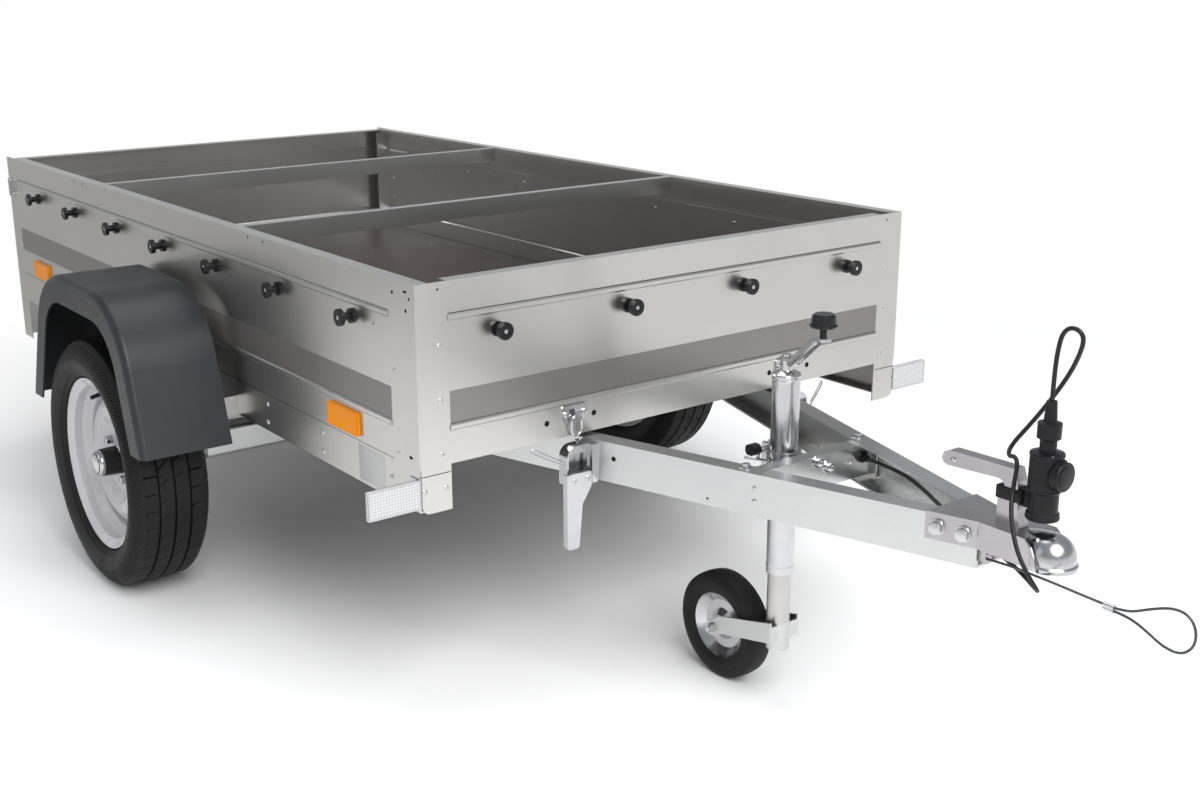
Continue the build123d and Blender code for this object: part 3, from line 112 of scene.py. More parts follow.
# ------------------------------------------------------------------------------------------ modelling bench
class Bench:
    """Modelling tools that add one piece at a time and leave it with its place in its mesh."""

    @staticmethod
    def clear() -> None:
        """Leaves edit mode and deselects everything."""
        if bpy.context.object and bpy.context.object.mode != "OBJECT":
            bpy.ops.object.mode_set(mode="OBJECT")
        bpy.ops.object.select_all(action="DESELECT")

    @classmethod
    def pick(cls, piece: Piece) -> None:
        """Leaves one piece selected and active, in object mode.

        Args:
            piece: The piece.
        """
        cls.clear()
        bpy.context.view_layer.objects.active = piece
        piece.select_set(True)

    @classmethod
    def edit(cls, piece: Piece, every: bool = False) -> None:
        """Opens a piece in edit mode.

        Args:
            piece: The piece.
            every: Whether its whole mesh is selected, and not nothing.
        """
        cls.pick(piece)
        bpy.ops.object.mode_set(mode="EDIT")
        bpy.ops.mesh.select_mode(type="VERT")
        bpy.ops.mesh.select_all(action="SELECT" if every else "DESELECT")

    @classmethod
    def settle(cls, piece: Piece, name: str) -> Piece:
        """Names a piece and moves its place into its mesh.

        Args:
            piece: The piece, in any mode.
            name: Its new name.

        Returns:
            The same piece, in object mode.
        """
        cls.pick(piece)
        bpy.ops.object.transform_apply(location=True, rotation=True, scale=True)
        piece.name = name
        piece.data.name = name
        return piece

    @classmethod
    def select_faces(cls, piece: Piece, test: Callable[[Vector, Vector], bool]) -> int:
        """Selects the faces whose middle and normal pass a test.

        Args:
            piece: The piece, left in edit mode.
            test: Called with a face's middle and normal.

        Returns:
            How many faces are selected.
        """
        cls.edit(piece)
        bpy.ops.mesh.select_mode(type="FACE")
        bpy.ops.object.mode_set(mode="OBJECT")
        found = [face for face in piece.data.polygons if test(face.center, face.normal)]
        for face in found:
            face.select = True
        bpy.ops.object.mode_set(mode="EDIT")
        return len(found)

    @classmethod
    def modify(cls, piece: Piece, kind: str, **values: object) -> None:
        """Adds a modifier and applies it.

        Args:
            piece: The piece.
            kind: The modifier's type.
            values: Its settings.
        """
        cls.pick(piece)
        modifier = piece.modifiers.new(kind.lower(), kind)
        for key, value in values.items():
            setattr(modifier, key, value)
        bpy.ops.object.modifier_apply(modifier=modifier.name)

    @classmethod
    def smooth(cls, piece: Piece, angle: float = SMOOTH_ANGLE) -> None:
        """Smooths a piece's shading except over sharp edges."""
        cls.pick(piece)
        bpy.ops.object.shade_smooth_by_angle(angle=math.radians(angle))

    @classmethod
    def bevel(cls, piece: Piece, width: float, segments: int = 2) -> None:
        """Rounds a piece's sharp edges and smooths its shading.

        Args:
            piece: The piece.
            width: Width of the rounding, or 0 for none.
            segments: Steps of the rounding.
        """
        if width > 0:
            cls.modify(piece, "BEVEL", width=width, segments=segments, limit_method="ANGLE",
                       angle_limit=math.radians(BEVEL_ANGLE))
        cls.smooth(piece)

    @classmethod
    def box(cls, name: str, low: Point, high: Point, bevel: float = 0.0, segments: int = 2) -> Piece:
        """Adds a box with rounded edges.

        Args:
            name: Its name.
            low: One corner.
            high: The corner across from it.
            bevel: Rounding of its edges.
            segments: Steps of the rounding.

        Returns:
            The box.
        """
        cls.clear()
        middle = [(a + b) / 2 for a, b in zip(low, high)]
        size = [abs(b - a) for a, b in zip(low, high)]
        bpy.ops.mesh.primitive_cube_add(size=1.0, location=middle, scale=size)
        piece = cls.settle(bpy.context.object, name)
        cls.bevel(piece, bevel, segments)
        return piece

    @classmethod
    def bar(cls, name: str, start: Point, end: Point, radius: float, sides: int = 24, bevel: float = 0.0,
            taper: float = 1.0) -> Piece:
        """Adds a round or many-sided bar between two points.

        Args:
            name: Its name.
            start: Middle of one end.
            end: Middle of the other end.
            radius: Radius to the corners.
            sides: Number of sides.
            bevel: Rounding of its edges.
            taper: Radius of the far end as a share of the near one.

        Returns:
            The bar.
        """
        cls.clear()
        run = Vector(end) - Vector(start)
        turn = run.to_track_quat("Z", "Y").to_euler()
        middle = (Vector(start) + Vector(end)) / 2
        bpy.ops.mesh.primitive_cone_add(vertices=sides, radius1=radius, radius2=radius * taper,
                                        depth=run.length, location=middle, rotation=turn)
        piece = cls.settle(bpy.context.object, name)
        cls.bevel(piece, bevel)
        return piece

    @classmethod
    def outline(cls, name: str, points: Sequence[Point], run: Point, bevel: float = 0.0) -> Piece:
        """Extrudes a closed flat outline along a run.

        Args:
            name: Its name.
            points: Corners of the outline, in order.
            run: The extrusion.
            bevel: Rounding of its edges.

        Returns:
            The prism, with its faces outwards.
        """
        cls.clear()
        bpy.ops.mesh.primitive_circle_add(vertices=len(points), fill_type="NGON")
        piece = bpy.context.object
        for vertex, point in zip(piece.data.vertices, points):
            vertex.co = point
        cls.edit(piece, every=True)
        bpy.ops.mesh.extrude_region_move(TRANSFORM_OT_translate={"value": run})
        bpy.ops.mesh.select_all(action="SELECT")
        bpy.ops.mesh.normals_make_consistent(inside=False)
        piece = cls.settle(piece, name)
        cls.bevel(piece, bevel)
        return piece

    @classmethod
    def turned(cls, name: str, rows: Rows, centre: Point, axis: Point, steps: int = 64,
               smooth: float = SMOOTH_ANGLE) -> Piece:
        """Spins a closed profile about an axis.

        Args:
            name: Its name.
            rows: Profile corners as (along the axis, radius).
            centre: A point on the axis, from which the rows are measured.
            axis: Direction of the axis.
            steps: Steps of the full turn.
            smooth: Angle above which an edge stays sharp.

        Returns:
            The turned piece.
        """
        cls.clear()
        along = Vector(axis).normalized()
        out = along.orthogonal().normalized()
        bpy.ops.mesh.primitive_circle_add(vertices=len(rows), fill_type="NOTHING")
        piece = bpy.context.object
        for vertex, (distance, radius) in zip(piece.data.vertices, rows):
            vertex.co = Vector(centre) + along * distance + out * radius
        cls.edit(piece, every=True)
        bpy.ops.mesh.spin(steps=steps, angle=math.tau, center=centre, axis=along)
        bpy.ops.mesh.select_all(action="SELECT")
        bpy.ops.mesh.remove_doubles(threshold=2e-5)
        bpy.ops.mesh.normals_make_consistent(inside=False)
        piece = cls.settle(piece, name)
        cls.smooth(piece, smooth)
        return piece

    @classmethod
    def wire(cls, name: str, points: Sequence[Point], radius: float) -> Piece:
        """Adds a bent wire as a round mesh along a smooth line.

        Args:
            name: Its name.
            points: Control points of the line.
            radius: Radius of the wire.

        Returns:
            The wire.
        """
        cls.clear()
        curve = spline_curve(name, points, radius)
        mesh = bpy.data.meshes.new_from_object(curve)
        piece = bpy.data.objects.new(name, mesh)
        bpy.context.scene.collection.objects.link(piece)
        bpy.data.objects.remove(curve)
        piece.name = name
        cls.smooth(piece, WIRE_ANGLE)
        return piece

    @classmethod
    def join(cls, name: str, pieces: Iterable[Piece]) -> Piece:
        """Joins pieces into one object.

        Args:
            name: Its name.
            pieces: The pieces.

        Returns:
            The joined piece.
        """
        listed = list(pieces)
        cls.pick(listed[0])
        for piece in listed[1:]:
            piece.select_set(True)
        if len(listed) > 1:
            bpy.ops.object.join()
        return cls.settle(listed[0], name)

    @classmethod
    def mirrored(cls, piece: Piece) -> Piece:
        """Copies a piece, with its own mesh, to the other side of the trailer.

        Args:
            piece: The piece to copy.

        Returns:
            The copy, with its faces outwards.
        """
        twin = piece.copy()
        twin.data = piece.data.copy()
        bpy.context.scene.collection.objects.link(twin)
        twin.data.transform(Matrix.Scale(-1, 4, (0, 1, 0)))
        cls.edit(twin, every=True)
        bpy.ops.mesh.flip_normals()
        cls.clear()
        return twin

    @classmethod
    def pair(cls, piece: Piece) -> tuple[tuple[str, Piece], tuple[str, Piece]]:
        """Gives a piece as the right one and its mirror image as the left one."""
        return ("right", piece), ("left", cls.mirrored(piece))


def spline_curve(name: str, points: Sequence[Point], radius: float) -> Piece:
    """Adds a smooth round cord through the control points of one spline.

    Args:
        name: Its name.
        points: The control points.
        radius: Radius of the cord.

    Returns:
        The curve object.
    """
    data = bpy.data.curves.new(name, "CURVE")
    data.dimensions = "3D"
    data.bevel_depth = radius
    data.bevel_resolution = 6
    data.resolution_u = 12
    data.use_fill_caps = True
    spline = data.splines.new("NURBS")
    spline.points.add(len(points) - 1)
    for knot, point in zip(spline.points, points):
        knot.co = (*point, 1.0)
    spline.order_u = 3
    spline.use_endpoint_u = True
    curve = bpy.data.objects.new(name, data)
    bpy.context.scene.collection.objects.link(curve)
    return curve


# ------------------------------------------------------------------------------------------ shader tools
class Graph:
    """Adds and links the nodes of one material or shader group."""

    def __init__(self, tree: bpy.types.NodeTree) -> None:
        """Starts on an empty node tree."""
        self.tree = tree
        tree.nodes.clear()

    def add(self, kind: str, *sources: Socket, **values: object) -> bpy.types.Node:
        """Adds a node.

        Args:
            kind: The node's type.
            sources: Outputs to link to its first inputs, in order.
            values: Its settings or, where it has no setting of that name, its inputs.

        Returns:
            The node.
        """
        node = self.tree.nodes.new(kind)
        for key, value in values.items():
            if hasattr(node, key):
                setattr(node, key, value)
            else:
                node.inputs[key.replace("_", " ")].default_value = value
        for source, target in zip(sources, node.inputs):
            self.link(source, target)
        return node

    def link(self, source: Socket, target: Socket) -> None:
        """Links an output to an input."""
        self.tree.links.new(source, target)

    def ramp(self, source: Socket, low: float, high: float, out_low: float = 0.0,
             out_high: float = 1.0) -> Socket:
        """Maps a value from one range to another and clamps it.

        Args:
            source: The value.
            low: Start of its range.
            high: End of its range.
            out_low: What the start becomes.
            out_high: What the end becomes.

        Returns:
            The mapped value.
        """
        node = self.add("ShaderNodeMapRange", source, clamp=True)
        for key, value in (("From Min", low), ("From Max", high), ("To Min", out_low), ("To Max", out_high)):
            node.inputs[key].default_value = value
        return node.outputs["Result"]

    def mix(self, share: Socket, first: object, second: object) -> Socket:
        """Mixes two colours.

        Args:
            share: Share of the second colour.
            first: A colour or a socket.
            second: A colour or a socket.

        Returns:
            The mixed colour.
        """
        node = self.add("ShaderNodeMix", share, data_type="RGBA")
        for socket, value in ((node.inputs[6], first), (node.inputs[7], second)):
            if isinstance(value, Socket):
                self.link(value, socket)
            else:
                socket.default_value = (*value, 1.0)
        return node.outputs[2]

    def higher(self, first: Socket, second: Socket) -> Socket:
        """Gives the higher of two values."""
        return self.add("ShaderNodeMath", first, second, operation="MAXIMUM").outputs[0]

    def product(self, first: Socket, second: Socket) -> Socket:
        """Multiplies two values."""
        return self.add("ShaderNodeMath", first, second, operation="MULTIPLY").outputs[0]

    def blend(self, share: Socket, first: Socket, second: Socket) -> Socket:
        """Mixes two shaders by the share of the second."""
        return self.add("ShaderNodeMixShader", share, first, second).outputs["Shader"]


def new_group(name: str, inputs: Sequence[tuple[str, str, float]],
              outputs: Sequence[tuple[str, str]]) -> tuple[Graph, bpy.types.Node, bpy.types.Node]:
    """Makes a shader group with named sockets.

    Args:
        name: Its name.
        inputs: Rows of name, kind ("Float" or "Vector") and default.
        outputs: Rows of name and kind ("Float", "Color" or "Vector").

    Returns:
        Its graph, its input node and its output node.
    """
    tree = bpy.data.node_groups.new(name, "ShaderNodeTree")
    graph = Graph(tree)
    for label, kind, value in inputs:
        socket = tree.interface.new_socket(name=label, in_out="INPUT", socket_type="NodeSocket" + kind)
        if kind == "Float":
            socket.default_value = value
    for label, kind in outputs:
        tree.interface.new_socket(name=label, in_out="OUTPUT", socket_type="NodeSocket" + kind)
    return graph, graph.add("NodeGroupInput"), graph.add("NodeGroupOutput")


class Groups:
    """Shader groups that several finishes share."""

    def __init__(self) -> None:
        """Builds the groups once."""
        self.blotch = self._blotch()
        self.flakes = self._flakes()
        self.grain = self._grain()

    @staticmethod
    def _blotch() -> bpy.types.NodeTree:
        """Makes soft uneven patches, as on weathered or rolled sheet.

        Returns:
            The group.
        """
        graph, given, out = new_group("soft_blotches", [("Vector", "Vector", 0), ("Scale", "Float", 3.0)],
                                      [("Mask", "Float")])
        noise = graph.add("ShaderNodeTexNoise", given.outputs["Vector"], Detail=5.0, Roughness=0.55,
                          Distortion=0.3)
        graph.link(given.outputs["Scale"], noise.inputs["Scale"])
        graph.link(graph.ramp(noise.outputs["Fac"], 0.32, 0.68), out.inputs["Mask"])
        return graph.tree

    @staticmethod
    def _flakes() -> bpy.types.NodeTree:
        """Makes zinc crystals: small cells, each with its own grey.

        Returns:
            The group.
        """
        graph, given, out = new_group("zinc_flakes", [("Vector", "Vector", 0), ("Scale", "Float", 90.0)],
                                      [("Mask", "Float")])
        warp = graph.add("ShaderNodeTexNoise", given.outputs["Vector"], Scale=30.0, Detail=2.0)
        shift = graph.add("ShaderNodeVectorMath", warp.outputs["Color"], operation="SCALE")
        shift.inputs["Scale"].default_value = 0.02
        total = graph.add("ShaderNodeVectorMath", given.outputs["Vector"], shift.outputs["Vector"],
                          operation="ADD")
        cells = graph.add("ShaderNodeTexVoronoi", total.outputs["Vector"], feature="F1", distance="MANHATTAN")
        graph.link(given.outputs["Scale"], cells.inputs["Scale"])
        split = graph.add("ShaderNodeSeparateColor", cells.outputs["Color"])
        graph.link(split.outputs["Red"], out.inputs["Mask"])
        return graph.tree

    @staticmethod
    def _grain() -> bpy.types.NodeTree:
        """Makes fine moulded or cast grain as a bumped normal.

        Returns:
            The group.
        """
        graph, given, out = new_group("fine_grain", [("Vector", "Vector", 0), ("Scale", "Float", 400.0),
                                                     ("Depth", "Float", 0.2)], [("Normal", "Vector")])
        noise = graph.add("ShaderNodeTexNoise", given.outputs["Vector"], Detail=3.0, Roughness=0.6)
        graph.link(given.outputs["Scale"], noise.inputs["Scale"])
        bump = graph.add("ShaderNodeBump", Distance=0.0008)
        graph.link(noise.outputs["Fac"], bump.inputs["Height"])
        graph.link(given.outputs["Depth"], bump.inputs["Strength"])
        graph.link(bump.outputs["Normal"], out.inputs["Normal"])
        return graph.tree


class MaterialBase:
    """Common tools of every finish."""

    @staticmethod
    def start(name: str) -> tuple[bpy.types.Material, Graph, bpy.types.Node, Socket]:
        """Makes a material with a Principled shader.

        Args:
            name: The material's name.

        Returns:
            The material, its graph, its shader and the object coordinates.
        """
        material = bpy.data.materials.new(name)
        material.use_nodes = True
        graph = Graph(material.node_tree)
        shader = graph.add("ShaderNodeBsdfPrincipled")
        graph.add("ShaderNodeOutputMaterial", shader.outputs["BSDF"])
        return material, graph, shader, graph.add("ShaderNodeTexCoord").outputs["Object"]

    @staticmethod
    def use(graph: Graph, group: bpy.types.NodeTree, vector: Socket, **values: float) -> Socket:
        """Places a shared group in a material.

        Args:
            graph: The material's graph.
            group: The group.
            vector: The coordinates that it works on.
            values: Its other inputs.

        Returns:
            The group's output.
        """
        node = graph.add("ShaderNodeGroup", node_tree=group)
        graph.link(vector, node.inputs["Vector"])
        for key, value in values.items():
            node.inputs[key].default_value = value
        return node.outputs[0]

    @staticmethod
    def bumped(graph: Graph, shader: bpy.types.Node, height: Socket, distance: float, strength: float) -> None:
        """Bumps a shader's surface.

        Args:
            graph: The material's graph.
            shader: The material's shader.
            height: The height at each place.
            distance: How deep the bumps are.
            strength: Their strength.
        """
        bump = graph.add("ShaderNodeBump", Distance=distance, Strength=strength)
        graph.link(height, bump.inputs["Height"])
        graph.link(bump.outputs["Normal"], shader.inputs["Normal"])


@dataclass(frozen=True)
class ZincSheet(MaterialBase):
    """Galvanised or zinc-plated steel: faint crystals and soft patches under a metal shine."""

    light: Colour
    dark: Colour
    roughness: float = 0.29
    spread: float = 0.02
    flake_scale: float = 160.0
    flake_share: float = 0.12
    patch_scale: float = 1.6
    grain_scale: float = 420.0
    grain: float = 0.02

    def build(self, name: str, groups: Groups) -> bpy.types.Material:
        """Builds the material.

        Args:
            name: Its name.
            groups: The shared groups.

        Returns:
            The material.
        """
        material, graph, shader, coords = self.start(name)
        patches = self.use(graph, groups.blotch, coords, Scale=self.patch_scale)
        flakes = self.use(graph, groups.flakes, coords, Scale=self.flake_scale)
        specks = self.use(graph, groups.blotch, coords, Scale=self.flake_scale * 1.7)
        broad = graph.mix(patches, self.dark, self.light)
        fine = graph.mix(flakes, self.dark, self.light)
        share = graph.ramp(specks, 0.0, 1.0, self.flake_share * 0.3, self.flake_share)
        graph.link(graph.mix(share, broad, fine), shader.inputs["Base Color"])
        low, high = self.roughness - self.spread, self.roughness + self.spread
        graph.link(graph.ramp(patches, 0.0, 1.0, high, low), shader.inputs["Roughness"])
        grain = self.use(graph, groups.grain, coords, Scale=self.grain_scale, Depth=self.grain)
        graph.link(grain, shader.inputs["Normal"])
        shader.inputs["Metallic"].default_value = 1.0
        return material


@dataclass(frozen=True)
class Patchy(MaterialBase):
    """A surface whose colour and roughness change a little in soft patches."""

    colour: Colour
    pale: Colour
    roughness: float = 0.45
    spread: float = 0.08
    patch_scale: float = 6.0

    def patched(self, name: str, groups: Groups) -> tuple[bpy.types.Material, Graph, bpy.types.Node, Socket]:
        """Starts the material with its patches.

        Args:
            name: Its name.
            groups: The shared groups.

        Returns:
            The material, its graph, its shader and the object coordinates.
        """
        material, graph, shader, coords = self.start(name)
        patches = self.use(graph, groups.blotch, coords, Scale=self.patch_scale)
        graph.link(graph.mix(patches, self.colour, self.pale), shader.inputs["Base Color"])
        low, high = self.roughness - self.spread, self.roughness + self.spread
        graph.link(graph.ramp(patches, 0.0, 1.0, low, high), shader.inputs["Roughness"])
        return material, graph, shader, coords


@dataclass(frozen=True)
class Moulded(Patchy):
    """Moulded plastic, rubber or enamel with a fine grain and slight dust."""

    grain_scale: float = 500.0
    grain: float = 0.25
    coat: float = 0.0
    specular: float = 0.5

    def build(self, name: str, groups: Groups) -> bpy.types.Material:
        """Builds the material.

        Args:
            name: Its name.
            groups: The shared groups.

        Returns:
            The material.
        """
        material, graph, shader, coords = self.patched(name, groups)
        grain = self.use(graph, groups.grain, coords, Scale=self.grain_scale, Depth=self.grain)
        graph.link(grain, shader.inputs["Normal"])
        shader.inputs["Coat Weight"].default_value = self.coat
        shader.inputs["Specular IOR Level"].default_value = self.specular
        return material


@dataclass(frozen=True)
class FloorFilm(Patchy):
    """Brown phenolic film on plywood, with a fine wire-mesh imprint."""

    mesh_scale: float = 330.0

    def build(self, name: str, groups: Groups) -> bpy.types.Material:
        """Builds the material.

        Args:
            name: Its name.
            groups: The shared groups.

        Returns:
            The material.
        """
        material, graph, shader, coords = self.patched(name, groups)
        waves = [graph.add("ShaderNodeTexWave", coords, bands_direction=direction, Scale=self.mesh_scale)
                 for direction in ("X", "Y")]
        total = graph.product(waves[0].outputs["Fac"], waves[1].outputs["Fac"])
        self.bumped(graph, shader, total, 0.0004, 0.25)
        return material


@dataclass(frozen=True)
class StripeFilm(Patchy):
    """Grey film stuck on the panels; the metal's shine comes through."""

    metallic: float = 0.75

    def build(self, name: str, groups: Groups) -> bpy.types.Material:
        """Builds the material.

        Args:
            name: Its name.
            groups: The shared groups.

        Returns:
            The material.
        """
        material, _, shader, _ = self.patched(name, groups)
        shader.inputs["Metallic"].default_value = self.metallic
        return material


@dataclass(frozen=True)
class Reflector(MaterialBase):
    """Moulded reflector or lens with small prisms under a smooth face."""

    colour: Colour
    bright: Colour
    cell: float = 420.0
    roughness: float = 0.28
    specular: float = 0.15
    coat: float = 0.06
    coat_roughness: float = 0.08

    def build(self, name: str, _: Groups) -> bpy.types.Material:
        """Builds the material.

        Args:
            name: Its name.
            _: The shared groups, which it doesn't need.

        Returns:
            The material.
        """
        material, graph, shader, coords = self.start(name)
        prisms = graph.add("ShaderNodeTexVoronoi", coords, feature="F1", Scale=self.cell, Randomness=0.0)
        share = graph.ramp(prisms.outputs["Distance"], 0.25, 0.75)
        graph.link(graph.mix(share, self.bright, self.colour), shader.inputs["Base Color"])
        self.bumped(graph, shader, prisms.outputs["Distance"], 0.001, 0.35)
        shader.inputs["Roughness"].default_value = self.roughness
        shader.inputs["Specular IOR Level"].default_value = self.specular
        shader.inputs["Coat Weight"].default_value = self.coat
        shader.inputs["Coat Roughness"].default_value = self.coat_roughness
        return material


class FinishName(Enum):
    """Finishes of the trailer."""

    SHEET = "galvanised_sheet"
    FRAME = "galvanised_frame"
    PLATED = "bright_zinc"
    COUPLING = "coupling_zinc"
    # Painted shade: near-black discs stand for the shade inside punched holes; the same finish is the dark of the
    # rail seam and the post joint.
    DARK_METAL = "hole_dark"
    STRIPE = "grey_stripe_film"
    GUARD = "mudguard_plastic"
    BLACK = "black_plastic"
    GLOSS_BLACK = "plug_plastic"
    TYRE = "tyre_rubber"
    RIM = "rim_enamel"
    HUB = "hub_enamel"
    CHROME = "polished_cap"
    SATIN_ZINC = "satin_zinc"
    # Painted shade: the dark strips along the upper root of the pressed beads.
    SEAM = "seam_shadow"
    FLOOR = "floor_film"
    AMBER = "amber_reflector"
    WHITE = "white_reflector"
    RED = "red_lamp_lens"
    PLATE = "blank_plate"
    LEAD = "lead_rubber"
    WIRE = "coated_wire"


class FinishBook:
    """Builds every finish once, hands it out by name and fits pieces to the frame."""

    def __init__(self) -> None:
        """Builds the shared groups and the finishes."""
        recipes = {
            FinishName.SHEET: ZincSheet((0.60, 0.592, 0.568), (0.545, 0.54, 0.52)),
            FinishName.FRAME: ZincSheet((0.58, 0.583, 0.58), (0.54, 0.545, 0.545), patch_scale=3.0,
                                        flake_share=0.2),
            FinishName.PLATED: ZincSheet((0.585, 0.582, 0.59), (0.49, 0.492, 0.505), roughness=0.20,
                                         spread=0.03, flake_share=0.1, patch_scale=9.0, grain=0.01),
            FinishName.COUPLING: ZincSheet((0.46, 0.443, 0.458), (0.39, 0.376, 0.392), roughness=0.27,
                                           spread=0.04, flake_share=0.2, patch_scale=8.0),
            FinishName.SATIN_ZINC: ZincSheet((0.53, 0.515, 0.505), (0.47, 0.46, 0.455), roughness=0.36,
                                             patch_scale=9.0),
            FinishName.CHROME: ZincSheet((0.62, 0.62, 0.61), (0.56, 0.56, 0.56), roughness=0.12,
                                         flake_share=0.05, grain=0.01),
            FinishName.STRIPE: StripeFilm((0.215, 0.205, 0.198), (0.240, 0.230, 0.222), roughness=0.34,
                                          spread=0.04, patch_scale=2.4),
            FinishName.FLOOR: FloorFilm((0.030, 0.019, 0.017), (0.046, 0.031, 0.028), roughness=0.36,
                                        spread=0.06, patch_scale=4.0),
            # Painted shade inside holes, and the dark of the joints.
            FinishName.DARK_METAL: Moulded((0.008, 0.008, 0.008), (0.012, 0.012, 0.012), roughness=0.8,
                                           specular=0.1),
            # Painted shade of the bead roots.
            FinishName.SEAM: Moulded((0.055, 0.053, 0.050), (0.085, 0.082, 0.078), roughness=0.6, specular=0.2),
            FinishName.GUARD: Moulded((0.017, 0.018, 0.020), (0.024, 0.025, 0.028), roughness=0.42,
                                      grain_scale=700.0, grain=0.2, patch_scale=3.0, specular=0.34),
            FinishName.BLACK: Moulded((0.006, 0.006, 0.007), (0.010, 0.010, 0.011), roughness=0.32, grain=0.08,
                                      specular=0.3),
            FinishName.GLOSS_BLACK: Moulded((0.005, 0.005, 0.006), (0.009, 0.009, 0.010), roughness=0.40,
                                            grain_scale=900.0, specular=0.25),
            FinishName.TYRE: Moulded((0.006, 0.006, 0.006), (0.011, 0.0105, 0.010), roughness=0.55,
                                     grain_scale=600.0, patch_scale=14.0, specular=0.22),
            FinishName.RIM: Moulded((0.50, 0.49, 0.515), (0.55, 0.54, 0.565), roughness=0.27, grain=0.04,
                                    patch_scale=5.0, coat=0.25),
            FinishName.HUB: Moulded((0.006, 0.006, 0.007), (0.012, 0.012, 0.012), roughness=0.4, grain=0.2,
                                    specular=0.3),
            FinishName.PLATE: Moulded((0.40, 0.40, 0.40), (0.44, 0.44, 0.44), roughness=0.4, grain=0.02),
            FinishName.LEAD: Moulded((0.006, 0.006, 0.006), (0.010, 0.010, 0.010), roughness=0.4, grain=0.1,
                                     specular=0.3),
            FinishName.WIRE: Moulded((0.020, 0.021, 0.022), (0.045, 0.047, 0.050), roughness=0.3, grain=0.1,
                                     coat=0.3),
            FinishName.AMBER: Reflector((0.72, 0.20, 0.001), (0.82, 0.28, 0.002)),
            FinishName.WHITE: Reflector((0.33, 0.33, 0.34), (0.60, 0.60, 0.61), cell=190.0),
            FinishName.RED: Reflector((0.40, 0.008, 0.008), (0.55, 0.015, 0.012), cell=160.0),
        }
        groups = Groups()
        self.made = {finish: recipe.build(finish.value, groups) for finish, recipe in recipes.items()}

    def dress(self, piece: Piece, finish: FinishName) -> None:
        """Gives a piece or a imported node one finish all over."""
        piece.data.materials.clear()
        piece.data.materials.append(self.made[finish])

    def fit(self, piece: Piece, finish: FinishName, body: str, slot: str, node: str = "") -> None:
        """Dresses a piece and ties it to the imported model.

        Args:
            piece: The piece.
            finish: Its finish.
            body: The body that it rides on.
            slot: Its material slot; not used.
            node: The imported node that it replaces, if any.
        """
        self.dress(piece, finish)
        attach(piece, body)
        if node:
            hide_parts(node)


